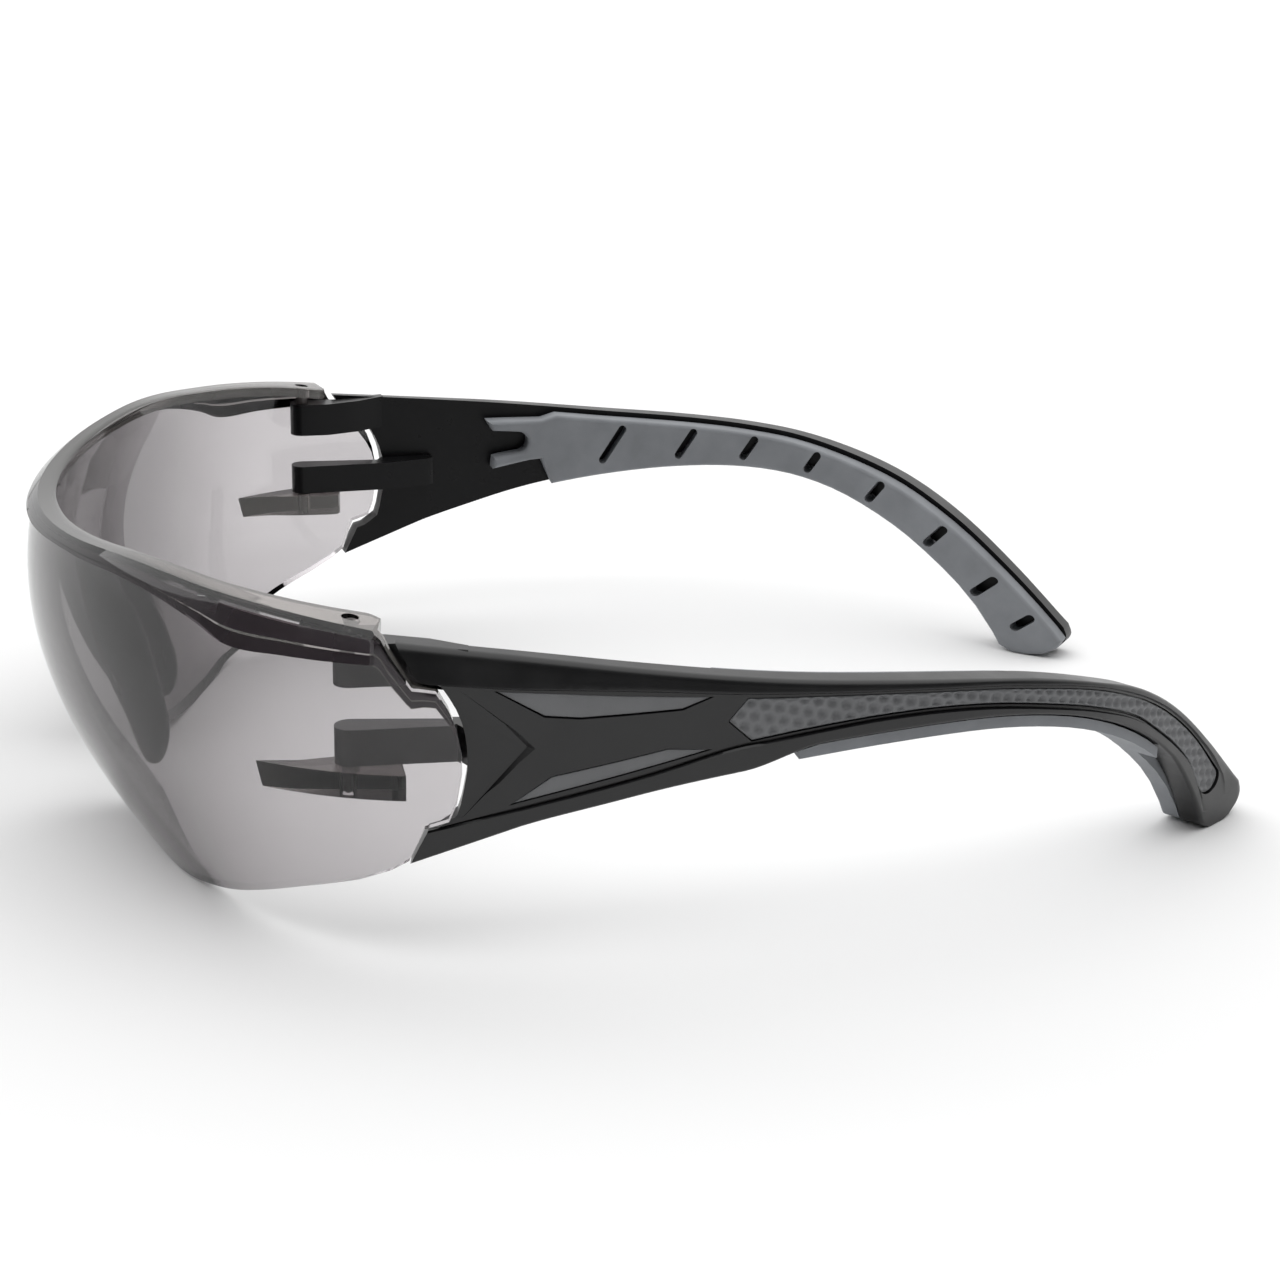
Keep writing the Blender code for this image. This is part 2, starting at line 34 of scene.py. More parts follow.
# Vertices closer than this, in metres, are merged.
MERGE_DISTANCE = 2e-6

# Lens: a superellipse in plan and an arc in height.
HALF_WIDTH = 68.0
LENS_DEPTH = 52.5
PLAN_POWER = 1.95
WIDEST_LEVEL = 26.0
WIDEST_LEVEL_RISE = 0.10
SIDE_RADIUS = 80.0
RADIUS_DROP = 0.80
BROW_PROUD = 0.8
BROW_CHAMFER = 0.8
LEDGE_THICKNESS = 1.6
LENS_ROWS = 14
# Rows of the lens's profile: the brow's dark outer bands, painted shade, and its lighter ridges and
# flange, painted light.
PAINTED_SHADE_ROWS = (15, 17)
PAINTED_LIGHT_ROWS = (14, 16, 19, 20, 21, 22, 23, 24, 25, 26)
# Columns of the lens: even steps across the middle, then the front, then the side panels.
MIDDLE_STEP = 0.5
MIDDLE_COLUMNS = 32
FRONT_COLUMNS = 44
SIDE_STEP = 0.4
SIDE_START_Y = -19.1
SIDE_EDGE_Y = -19.2
NOSE_HALF_WIDTH = 16.0

# Hinge.
AXIS_X = 60.5
AXIS_Y = -12.2
PIN_RADIUS = 0.9
PIN_HOLE_RADIUS = 1.0
LUG_HOLE_RADIUS = 1.05
LUG_RADIUS = 2.4
TONGUE_RADIUS = 1.9
LEDGE_END_Y = -10.5
LEDGE_LIMIT_Y = LEDGE_END_Y + 0.01
SHELF_BOTTOM = 20.4
SHELF_TOP = 23.6
SHELF_REAR_Y = -6.4
# Stations where the shelf's outer side runs inside the lens.
SHELF_STATIONS = (-25.5, -23.0, -21.0, -18.5, -16.0, -13.5, -11.0, -8.5, SHELF_REAR_Y)
SHELF_INSET = 1.1
LOWER_TONGUE = (23.9, 28.4)
UPPER_TONGUE = (33.6, 38.7)

# Temple.
CORE_THICKNESS = 3.4
CORE_ROUND = 0.9
HEEL_ROUND = 0.5
HEEL_STEPS = (0.0, 0.05, 0.15, 0.3, HEEL_ROUND)
BAND_TILT = 0.30
PANEL_DEPTH = 0.3
PANEL_ROWS = 12
PANEL_MARGIN = 0.64
GROOVE_DEPTH = 0.65
GROOVE_WIDTH = 0.42
# The groove along the panel's lower edge, as (distance above it, x).
GROOVE_PROFILE = (
    (0.0, -0.22), (0.03, -GROOVE_DEPTH), (0.28, -GROOVE_DEPTH), (GROOVE_WIDTH, -PANEL_DEPTH))
CORE_STEP = 1.2
FRONT_STEPS = 8
CUT_START_Y = -7.0
CUT_END_Y = 112.0
PAD_THICKNESS = 3.0
PAD_GAP = 0.25
PAD_ROUND = 0.7
OUTLINE_STEP = 2.5
POCKET_DEPTH = 1.0
INLAY_GAP = 0.15
INLAY_TOP = 0.38
WINDOW_SINK = 0.1
SLOT_WIDTH = 1.4
DIMPLE_PITCH = 1.8
DIMPLE_ROW_RATIO = 0.866
DIMPLE_RADIUS = 0.8
DIMPLE_DEPTH = 0.45
DIMPLE_TURN = 12.5
GRIP_STEP = 0.24
GRIP_ROWS = 26

# Heights along the lens, as (x, z) ahead of the side panels and (y, z) beside them.
TOP_EDGE = (
    (-52.5, 42.0), (-47.0, 43.1), (-40.0, 44.0), (-30.0, 43.3), (-20.0, 42.3), (-10.0, 41.0))
NOSE_EDGE = (
    (0.0, 31.5), (4.0, 30.0), (7.0, 25.5), (9.0, 18.0), (10.5, 10.0), (12.5, 4.6), (16.0, 1.6))
LOWER_EDGE = (
    (16.0, 1.6), (21.5, 0.8), (32.0, 0.05), (44.0, 0.5), (49.5, 1.7), (54.5, 3.1), (59.0, 5.2),
    (63.0, 7.6))
LOWER_SIDE = (
    (-19.1, 7.6), (-12.5, 9.7), (-8.5, 11.4), (-6.3, 12.8), (-4.4, 17.2), (-1.5, 18.1),
    (-0.6, 20.4), (0.0, 24.2))
UPPER_SIDE = (
    (-10.5, 41.05), (-9.4, 40.2), (-8.5, 38.6), (-5.8, 34.8), (-3.0, 34.4), (-1.5, 32.0),
    (-0.5, 29.4), (0.0, 26.6))
LEDGE_DEPTH = (
    (-52.5, 3.0), (-44.0, 3.2), (-34.0, 4.0), (-24.0, 4.8), (-17.0, 5.8), (-13.5, 6.5),
    (-12.2, 6.6), (-10.5, 5.8))
BROW_BAND = (
    (-52.5, 1.6), (-47.0, 1.4), (-44.0, 1.7), (-39.0, 2.0), (-35.0, 2.5), (-30.0, 3.9),
    (-27.0, 5.3), (-20.0, 4.8), (-10.5, 3.7))
LENS_THICKNESS = ((-52.5, 2.7), (-40.0, 2.5), (-25.0, 2.1), (0.0, 1.9))
SIDE_CORNERS = (-16.5, -14.0, -12.2, -10.5, -9.4, -8.5, -6.3, -5.8, -4.4, -3.0, -1.5, -0.6, 0.0)

# Each hinge tongue's root in plan, as (x, y), from its outer side to its inner side.
UPPER_ROOT = ((62.4, -6.0), (64.4, -3.0), (65.6, 1.0), (64.0, 1.2), (61.0, -3.0), (58.9, -8.0))
LOWER_ROOT = ((62.4, 0.0), (65.6, 1.5), (66.0, 9.0), (63.2, 9.3), (62.2, 8.4), (60.2, 2.0))

# The temple's outer face in plan, as (y, x), and its side outline, as (y, z).
TEMPLE_PLAN = (
    (-14.0, 65.0), (-5.0, 66.4), (8.0, 68.2), (20.0, 69.7), (32.0, 70.3), (46.0, 69.7),
    (58.0, 68.0), (66.0, 66.0), (74.0, 63.2), (82.0, 59.0), (90.0, 53.3), (98.0, 46.7),
    (105.0, 41.0), (113.0, 34.8))
TEMPLE_TOP = (
    (-7.6, 39.4), (4.0, 38.3), (20.0, 36.7), (38.0, 34.9), (56.0, 33.5), (64.0, 32.7), (72.0, 31.5),
    (80.0, 29.4), (88.0, 26.4), (93.0, 23.5), (98.0, 19.7), (103.0, 15.0), (108.0, 9.8),
    (112.4, 4.8))
TEMPLE_BOTTOM = (
    (-4.6, 12.7), (2.0, 15.4), (8.0, 17.5), (16.0, 19.8), (24.0, 21.9), (32.0, 23.5), (41.0, 24.8),
    (50.0, 25.7), (60.0, 26.1), (67.0, 25.8), (74.0, 24.7), (80.0, 22.9), (86.0, 20.1),
    (91.0, 16.9), (95.0, 13.6), (99.0, 9.5), (102.0, 5.6), (103.6, 2.9))
TEMPLE_TIP = ((112.9, 3.2), (112.3, 1.8), (110.6, 0.5), (108.4, 0.0), (106.4, 0.0), (104.6, 0.9))
FRONT_EDGE = (
    (12.3, -6.0), (16.6, -3.9), (17.6, -0.8), (20.2, 0.0), (24.2, 0.7), (26.8, 0.7), (29.6, 0.3),
    (32.3, -0.8), (34.8, -2.4), (35.0, -4.8), (39.4, -7.6))
# Heights where the front edge's bands begin and end, from its foot to its top.
FRONT_LEVELS = (12.3, 16.6, 34.9, 39.4)
FRONT_BLEND_Y = 7.0
FAN_START_Y = 60.0
TEMPLE_END_Y = 112.4
TEMPLE_HEEL_Y = 103.6
PAD_FRONT_Y = 30.0
CORE_RISE = 1.7
CORE_RISE_START = 33.0
CORE_RISE_END = 43.0
CORE_FADE_START = 97.0
RELIEF_FADE = 5.0
LIP_INSET = 0.8
LIP_END_Y = 94.0
PAD_DROP = 0.8
# The pad's front fingers, as (y, z), and the round notch between them.
PAD_LOWER_FINGER = ((27.3, 27.4), (25.4, 27.3), (18.8, 26.0), (19.0, 27.9))
PAD_UPPER_FINGER = ((18.8, 32.5), (17.8, 34.2), (27.4, 34.1))
PAD_NOTCH = (23.2, 30.4)
PAD_NOTCH_RADIUS = 1.8
SLOT_FOOT_LEVEL = 0.6
# Slots in the inner pad, as (y, overall length, angle above the horizontal).
SLOTS = (
    (40.0, 7.6, 57.0), (53.0, 6.0, 57.0), (64.2, 4.8, 57.0), (75.4, 4.2, 57.0), (86.0, 4.4, 57.0),
    (95.2, 4.6, 54.0), (102.2, 4.8, 47.0), (107.6, 4.0, 44.0))

# Lines along the outer face: the top band's lower edge, the bottom band's upper edge, and the
# dimpled strip between them.
UPPER_LINE = (
    (-4.8, 34.9), (0.0, 34.5), (10.2, 34.4), (21.7, 34.2), (32.3, 33.6), (44.0, 33.1), (56.0, 32.5),
    (68.0, 31.4), (80.6, 28.7), (88.0, 25.6), (93.0, 22.6), (97.0, 19.5), (102.0, 14.7),
    (107.2, 8.4), (108.6, 5.5), (109.0, 3.0))
LOWER_LINE = (
    (-3.9, 16.6), (1.6, 17.9), (10.3, 20.3), (21.9, 23.6), (32.5, 26.8), (36.1, 27.3), (42.0, 28.2),
    (50.0, 29.1), (58.5, 29.3), (66.0, 28.7), (74.5, 27.1), (81.0, 25.2), (88.4, 21.9),
    (93.0, 18.5), (98.0, 14.1), (101.0, 10.6), (103.0, 6.6), (104.2, 3.2))
GRIP_UPPER = (
    (33.4, 32.8), (44.0, 32.5), (56.0, 31.9), (68.0, 30.8), (80.6, 28.1), (88.0, 25.0),
    (93.0, 22.0), (97.0, 18.9), (102.0, 14.1), (107.0, 8.0))
GRIP_LOWER = (
    (34.0, 27.6), (40.0, 28.6), (50.0, 29.7), (58.5, 29.9), (66.0, 29.3), (74.5, 27.7),
    (81.0, 25.8), (88.4, 22.5), (93.0, 19.1), (98.0, 14.7), (101.0, 11.2), (103.1, 7.4))
UPPER_WINDOW = ((4.0, 34.0), (9.6, 31.0), (13.7, 30.8), (25.6, 31.8), (29.0, 33.2))
# The strip's point, the ends of its upper and lower edges, and how far its round end bulges.
GRIP_POINT = (31.2, 30.1)
GRIP_POINT_COLUMNS = 10
GRIP_UPPER_START = 33.4
GRIP_LOWER_START = 34.0
GRIP_END = 107.0
GRIP_LOWER_END = 103.6
GRIP_END_COLUMNS = 7
GRIP_BULGE = 1.7
GRIP_ROLL = 0.12
LOWER_WINDOW = ((5.8, 19.95), (10.5, 23.4), (24.0, 26.8), (29.0, 26.65))
# The chevron's foot from top to bottom, as (y, z, depth below the panel).
CHEVRON = (
    (-0.1, 34.1, 0.05), (5.0, 29.9, 0.4), (7.6, 27.0, 0.6), (4.0, 22.7, 0.4), (0.2, 18.35, 0.05))
CHEVRON_LEVELS = (18.35, 20.2, 23.0, 26.0, 29.6, 32.3, 34.1)
CHEVRON_DEPTH = 0.6
CHEVRON_SLOPE = 1.6
CHEVRON_TOP = 0.5

# Camera and studio.
CAMERA_PLACE = (332.2, -58.5, 130.7)
CAMERA_VIEW = (-0.93151, 0.17277, -0.32005)
CAMERA_RIGHT = (0.17547, 0.98426, 0.02062)
CAMERA_LENS = 68.9
SENSOR_WIDTH = 36.0
FLOOR_SIZE = 40.0
OVERHEAD_POWER = 130.0

# Surrounding light on the two sides, as (height of the direction, brightness).
BRIGHT_SIDE = ((0.0, 1.0), (0.35, 1.0), (0.55, 0.55), (0.80, 0.35), (1.0, 0.4))
DIM_SIDE = ((0.0, 1.0), (0.03, 0.8), (0.10, 0.06), (0.45, 0.05), (1.0, 0.4))

# Finishes. Noise is mapped from its usual range, and lengths are in metres.
NOISE_LOW = 0.3
NOISE_HIGH = 0.7
MOTTLE_SCALE = 180.0
GRAIN_HEIGHT = 0.00004
LENS_IOR = 1.58
# Grey tint that dims the lens's reflections: painted shade, standing in for darker surroundings in
# front of it.
LENS_REFLECTION_SHADE = (0.75, 0.75, 0.75, 1.0)
LENS_WAVE_HEIGHT = 0.0004
SMOKE_COLOUR = (0.60, 0.575, 0.585, 1.0)
SMOKE_DENSITY = 700.0
# Painted shade on the lens's tints: they darken towards the front, to a share of themselves,
# between two places along y in metres.
FRONT_SHADE_Y = -0.084
SHADE_FREE_Y = -0.048
FRONT_SHADE_SHARE = 0.28
# Tints of the lens: key, name, darkest and lightest tint, and clearness. The flange's and band's
# tints are copies of the smoke that paint light and shade on the brow.
SMOKED = (
    ("lens", "smoke_polycarbonate", (0.955, 0.95, 0.955), (0.99, 0.985, 0.99), 1.0),
    ("flange", "smoke_polycarbonate_flange", (0.66, 0.625, 0.59), (0.76, 0.725, 0.69), 0.85),
    ("band", "smoke_polycarbonate_band", (0.22, 0.18, 0.21), (0.28, 0.23, 0.26), 0.88))
# Moulded finishes: name, colour, roughness, grain scale, grain strength and gloss.
BLACK = (0.006, 0.006, 0.0065)
MOULDED = (
    ("nose_rubber", (0.022, 0.022, 0.024), 0.5, 9000.0, 0.3, 0.5),
    ("black_plastic", BLACK, 0.33, 7000.0, 0.12, 0.5),
    # A copy of the black plastic that reflects less, for the inner faces: painted shade.
    ("black_inside", BLACK, 0.3, 7000.0, 0.12, 0.15),
    ("pad_rubber", (0.225, 0.235, 0.25), 0.62, 8000.0, 0.35, 0.35),
    ("inlay_rubber", (0.155, 0.158, 0.163), 0.5, 8000.0, 0.3, 0.4),
    ("pin_plastic", (0.11, 0.10, 0.098), 0.35, 9000.0, 0.1, 0.5))


def smooth_through(points):
    """Return a smooth function through (input, output) points."""
    xs, ys = zip(*points)
    slopes = [(y1 - y0) / (x1 - x0) for (x0, y0), (x1, y1) in zip(points, points[1:])]
    tangents = [slopes[0]]
    tangents += [(before + after) / 2 for before, after in zip(slopes, slopes[1:])]
    tangents.append(slopes[-1])

    def value(x):
        i = 0
        while i < len(xs) - 2 and x > xs[i + 1]:
            i += 1
        width = xs[i + 1] - xs[i]
        t = (x - xs[i]) / width
        if t < 0 or t > 1:
            end = 0 if t < 0 else -1
            return ys[end] + tangents[end] * (x - xs[end])
        h00 = (1 + 2 * t) * (1 - t) ** 2
        h10 = t * (1 - t) ** 2
        h01 = t * t * (3 - 2 * t)
        h11 = t * t * (t - 1)
        start = h00 * ys[i] + h10 * width * tangents[i]
        return start + h01 * ys[i + 1] + h11 * width * tangents[i + 1]

    return value


def straight_through(points):
    """Return a function that joins (input, output) points with straight lines."""

    def value(x):
        if x <= points[0][0]:
            return points[0][1]
        for (x0, y0), (x1, y1) in zip(points, points[1:]):
            if x <= x1:
                return y0 + (y1 - y0) * (x - x0) / (x1 - x0)
        return points[-1][1]

    return value


def round_through(points, t):
    """Point at position t on a smooth curve through points, one unit from point to point."""
    i = min(int(t), len(points) - 2)
    local = t - i
    result = []
    for axis in (0, 1):
        p1 = points[i][axis]
        p2 = points[i + 1][axis]
        p0 = points[i - 1][axis] if i > 0 else 2 * p1 - p2
        p3 = points[i + 2][axis] if i + 2 < len(points) else 2 * p2 - p1
        cubic = (3 * (p1 - p2) + p3 - p0) * local ** 3
        square = (2 * p0 - 5 * p1 + 4 * p2 - p3) * local ** 2
        result.append(0.5 * (cubic + square + (p2 - p0) * local) + p1)
    return result[0], result[1]


top_edge = smooth_through(TOP_EDGE)
nose_edge = smooth_through(NOSE_EDGE)
lower_edge = smooth_through(LOWER_EDGE)
lower_side = straight_through(LOWER_SIDE)
upper_side = straight_through(UPPER_SIDE)
ledge_depth = smooth_through(LEDGE_DEPTH)
brow_band = smooth_through(BROW_BAND)
lens_thickness = smooth_through(LENS_THICKNESS)
temple_plan = smooth_through(TEMPLE_PLAN)
temple_top = smooth_through(TEMPLE_TOP)
temple_bottom = smooth_through(TEMPLE_BOTTOM)
front_edge = straight_through(FRONT_EDGE)
upper_line = smooth_through(UPPER_LINE)
lower_line = smooth_through(LOWER_LINE)
grip_upper = smooth_through(GRIP_UPPER)
grip_lower = smooth_through(GRIP_LOWER)


def sampled(curve, start, end, step):
    """Points on a curve at even steps, both ends included."""
    count = max(1, round(abs(end - start) / step))
    inputs = [start + (end - start) * i / count for i in range(count + 1)]
    return [(x, curve(x)) for x in inputs]


def between(a, b, t):
    """Point a share t of the way from a to b."""
    return a[0] + (b[0] - a[0]) * t, a[1] + (b[1] - a[1]) * t


def clamped(value):
    """Keep a value between 0 and 1."""
    return min(1.0, max(0.0, value))


def round_drop(radius, distance):
    """Drop of a rounded edge at a distance in from it."""
    return radius - math.sqrt(max(0.0, radius ** 2 - (radius - distance) ** 2))


def squared_off(value, power):
    """Raise the size of a value to a power and keep its sign."""
    return math.copysign(abs(value) ** power, value)


# Materials

def new_material(name):
    """Make a node material and return it with its tree and shader."""
    made = bpy.data.materials.new(name)
    made.use_nodes = True
    tree = made.node_tree
    return made, tree, tree.nodes["Principled BSDF"]


def set_inputs(node, values):
    """Set a node's sockets from a dictionary of their names and values."""
    for name, value in values.items():
        node.inputs[name].default_value = value


def noise_node(tree, scale, detail=3.0):
    """Add a noise texture in object space."""
    place = tree.nodes.new("ShaderNodeTexCoord")
    noise = tree.nodes.new("ShaderNodeTexNoise")
    set_inputs(noise, {"Scale": scale, "Detail": detail})
    tree.links.new(place.outputs["Object"], noise.inputs["Vector"])
    return noise


def spread(tree, source, low, high, target):
    """Map a noise value onto a range and link it to a socket."""
    mapper = tree.nodes.new("ShaderNodeMapRange")
    ends = {"From Min": NOISE_LOW, "From Max": NOISE_HIGH, "To Min": low, "To Max": high}
    set_inputs(mapper, ends)
    tree.links.new(source.outputs[0], mapper.inputs["Value"])
    tree.links.new(mapper.outputs["Result"], target)


def tint(tree, source, dark, light, target):
    """Map a noise value onto a colour range and link it to a socket."""
    ramp = tree.nodes.new("ShaderNodeValToRGB")
    stops = ((NOISE_LOW, dark), (NOISE_HIGH, light))
    for element, (position, colour) in zip(ramp.color_ramp.elements, stops):
        element.position = position
        element.color = (*colour, 1.0)
    tree.links.new(source.outputs[0], ramp.inputs["Fac"])
    tree.links.new(ramp.outputs["Color"], target)


def paint_front_shade(tree, wash, shader):
    """Darken a tint towards the front of the object, where the lens is thickest, as painted shade.
    """
    parts = tree.nodes.new("ShaderNodeSeparateXYZ")
    depth = tree.nodes.new("ShaderNodeMapRange")
    depth.interpolation_type = "SMOOTHSTEP"
    set_inputs(depth, {"From Min": FRONT_SHADE_Y, "From Max": SHADE_FREE_Y})
    set_inputs(depth, {"To Min": FRONT_SHADE_SHARE, "To Max": 1.0})
    scale = tree.nodes.new("ShaderNodeVectorMath")
    scale.operation = "SCALE"
    colour = shader.inputs["Base Color"].links[0].from_socket
    place = wash.inputs["Vector"].links[0].from_socket
    tree.links.new(place, parts.inputs["Vector"])
    tree.links.new(parts.outputs["Y"], depth.inputs["Value"])
    tree.links.new(colour, scale.inputs[0])
    tree.links.new(depth.outputs["Result"], scale.inputs["Scale"])
    tree.links.new(scale.outputs["Vector"], shader.inputs["Base Color"])


def relief(tree, shader, source, strength, distance):
    """Bump a shader's surface with a noise value."""
    bump = tree.nodes.new("ShaderNodeBump")
    set_inputs(bump, {"Strength": strength, "Distance": distance})
    tree.links.new(source.outputs[0], bump.inputs["Height"])
    tree.links.new(bump.outputs["Normal"], shader.inputs["Normal"])


def moulded_material(name, colour, roughness, grain_scale, grain_strength, specular):
    """Moulded plastic or rubber: fine grain, faint mottling and uneven gloss."""
    made, tree, shader = new_material(name)
    mottle = noise_node(tree, MOTTLE_SCALE, 4.0)
    dark, light = (tuple(part * factor for part in colour) for factor in (0.9, 1.12))
    tint(tree, mottle, dark, light, shader.inputs["Base Color"])
    spread(tree, mottle, roughness - 0.05, roughness + 0.06, shader.inputs["Roughness"])
    shader.inputs["Specular IOR Level"].default_value = specular
    relief(tree, shader, noise_node(tree, grain_scale, 2.0), grain_strength, GRAIN_HEIGHT)
    return made


def lens_material(name, dark, light, clear):
    """Smoke polycarbonate: grey-brown, darker with thickness and with painted shade to the front;
    clear gloss greyed by painted shade.
    """
    made, tree, shader = new_material(name)
    set_inputs(shader, {"Transmission Weight": clear, "IOR": LENS_IOR})
    # Painted shade: the grey tint dims the reflections.
    shader.inputs["Specular Tint"].default_value = LENS_REFLECTION_SHADE
    wash = noise_node(tree, 60.0, 2.0)
    tint(tree, wash, dark, light, shader.inputs["Base Color"])
    # Painted shade: the tint darkens towards the front.
    paint_front_shade(tree, wash, shader)
    spread(tree, wash, 0.01, 0.035, shader.inputs["Roughness"])
    relief(tree, shader, noise_node(tree, 45.0, 1.0), 0.05, LENS_WAVE_HEIGHT)
    body = tree.nodes.new("ShaderNodeVolumeAbsorption")
    set_inputs(body, {"Color": SMOKE_COLOUR, "Density": SMOKE_DENSITY})
    tree.links.new(body.outputs["Volume"], tree.nodes["Material Output"].inputs["Volume"])
    return made


def build_materials():
    """Make every finish.

    Most keys are the record's slot names. The flange and band are darker, less clear tints of the
    lens:
    painted light on the brow's flange and ridges, and painted shade on its band. black_inside is
    the black plastic with weaker reflections, as painted shade on its inner side.
    """
    made = {}
    for key, *values in SMOKED:
        made[key] = lens_material(*values)
    for name, *values in MOULDED:
        made[name] = moulded_material(name, *values)
    return made


# Mesh tools

def place_object(name, data):
    """Make an object from its data and put it in the scene."""
    made = bpy.data.objects.new(name, data)
    bpy.context.scene.collection.objects.link(made)
    return made


def make_object(name, verts, faces):
    """Make an object from vertices in millimetres, with its faces turned outwards."""
    mesh = bpy.data.meshes.new(name)
    mesh.from_pydata([(x * MM, (y - MIDDLE_Y) * MM, z * MM) for x, y, z in verts], [], faces)
    made = place_object(name, mesh)
    tidy_mesh(made)
    return made


def tidy_mesh(piece, merge=0.0):
    """Merge close vertices if asked, and turn all faces outwards."""
    work = bmesh.new()
    work.from_mesh(piece.data)
    if merge:
        bmesh.ops.remove_doubles(work, verts=work.verts, dist=merge)
    bmesh.ops.recalc_face_normals(work, faces=work.faces)
    work.to_mesh(piece.data)
    work.free()


def prism(name, outline, low, high, axis=0):
    """Make an outline extruded along x (axis 0) or z (axis 2)."""
    count = len(outline)
    verts = []
    for level in (low, high):
        for a, b in outline:
            verts.append((level, a, b) if axis == 0 else (a, b, level))
    faces = [tuple(range(count)), tuple(range(2 * count - 1, count - 1, -1))]
    for i in range(count):
        j = (i + 1) % count
        faces.append((i, count + i, count + j, j))
    return make_object(name, verts, faces)


def tube_faces(rings, sides):
    """Side faces of a tube made of rings of vertices."""
    faces = []
    for ring in range(rings - 1):
        here = ring * sides
        after = here + sides
        for i in range(sides):
            j = (i + 1) % sides
            faces.append((here + i, here + j, after + j, after + i))
    return faces


def circle(centre, radius, sides=32, start=0.0, turn=360.0):
    """Points on a circle or an arc, in degrees."""
    whole = abs(turn) >= 360.0
    steps = sides if whole else sides + 1
    points = []
    for i in range(steps):
        angle = math.radians(start + turn * i / sides)
        points.append((centre[0] + radius * math.cos(angle), centre[1] + radius * math.sin(angle)))
    return points


def boolean(target, other, operation="DIFFERENCE"):
    """Cut other from target, or join it to target, and remove other."""
    step = target.modifiers.new(operation, "BOOLEAN")
    step.operation = operation
    step.solver = "EXACT"
    step.object = other
    apply_modifiers(target)
    bpy.data.objects.remove(other, do_unlink=True)


def apply_modifiers(piece):
    """Replace a piece's mesh with its evaluated mesh."""
    graph = bpy.context.evaluated_depsgraph_get()
    result = bpy.data.meshes.new_from_object(piece.evaluated_get(graph))
    piece.modifiers.clear()
    piece.data = result


def shade_smooth(piece):
    """Shade every face of a piece smoothly."""
    for polygon in piece.data.polygons:
        polygon.use_smooth = True


def soften_edges(piece, width, segments=2, angle=32.0):
    """Round a piece's sharp edges and shade it smoothly."""
    shade_smooth(piece)
    bevel = piece.modifiers.new("edges", "BEVEL")
    bevel.width = width * MM
    bevel.segments = segments
    bevel.limit_method = "ANGLE"
    bevel.angle_limit = math.radians(angle)
    bevel.harden_normals = True
    weighted = piece.modifiers.new("shading", "WEIGHTED_NORMAL")
    weighted.keep_sharp = True


def finish_piece(piece, body, slot_name, nodes, finishes=None):
    """Give a piece its body, hide the CAD nodes it stands for, and give it its material if asked.
    """
    if finishes:
        piece.data.materials.clear()
        piece.data.materials.append(finishes[slot_name])
    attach(piece, body)
    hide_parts(*nodes)


# Lens

def plan_angle_at_x(x):
    """Angle along the lens's plan curve at distance x from the middle."""
    return math.asin(min(1.0, (x / HALF_WIDTH) ** (PLAN_POWER / 2)))


def plan_angle_at_y(y):
    """Angle along the lens's plan curve at distance -y ahead of its rear edge."""
    return math.acos(min(1.0, (-y / LENS_DEPTH) ** (PLAN_POWER / 2)))


def plan_point(angle):
    """Point and outward direction on the lens's plan curve, a superellipse."""
    x = HALF_WIDTH * math.sin(angle) ** (2 / PLAN_POWER)
    y = -LENS_DEPTH * max(0.0, math.cos(angle)) ** (2 / PLAN_POWER)
    nx = (x / HALF_WIDTH) ** (PLAN_POWER - 1) / HALF_WIDTH
    ny = -((-y / LENS_DEPTH) ** (PLAN_POWER - 1)) / LENS_DEPTH
    size = math.hypot(nx, ny)
    return x, y, nx / size, ny / size


def lens_point(angle, z, inset):
    """Point on the lens at height z, inset from its outer surface."""
    x, y, nx, ny = plan_point(angle)
    level = WIDEST_LEVEL - WIDEST_LEVEL_RISE * y
    radius = SIDE_RADIUS + RADIUS_DROP * y
    offset = (z - level) ** 2 / (2 * radius) + inset
    return x - offset * nx, y - offset * ny, z


def lens_angles():
    """Column positions from the middle to the rear edge."""
    angles = [plan_angle_at_x(MIDDLE_STEP * i) for i in range(MIDDLE_COLUMNS + 1)]
    first = angles[-1]
    side = plan_angle_at_y(SIDE_START_Y)
    angles += [first + (side - first) * i / FRONT_COLUMNS for i in range(1, FRONT_COLUMNS + 1)]
    previous = SIDE_START_Y
    for corner in SIDE_CORNERS:
        count = max(1, round((corner - previous) / SIDE_STEP))
        for i in range(1, count + 1):
            angles.append(plan_angle_at_y(previous + (corner - previous) * i / count))
        previous = corner
    return angles


def lens_limits(angle):
    """Lowest and highest level of the lens at an angle."""
    x, y = plan_point(angle)[:2]
    if x < NOSE_HALF_WIDTH:
        low = nose_edge(x)
    elif y < SIDE_EDGE_Y:
        low = lower_edge(x)
    else:
        low = lower_side(y)
    high = upper_side(y) if y > LEDGE_LIMIT_Y else top_edge(y)
    return low, high


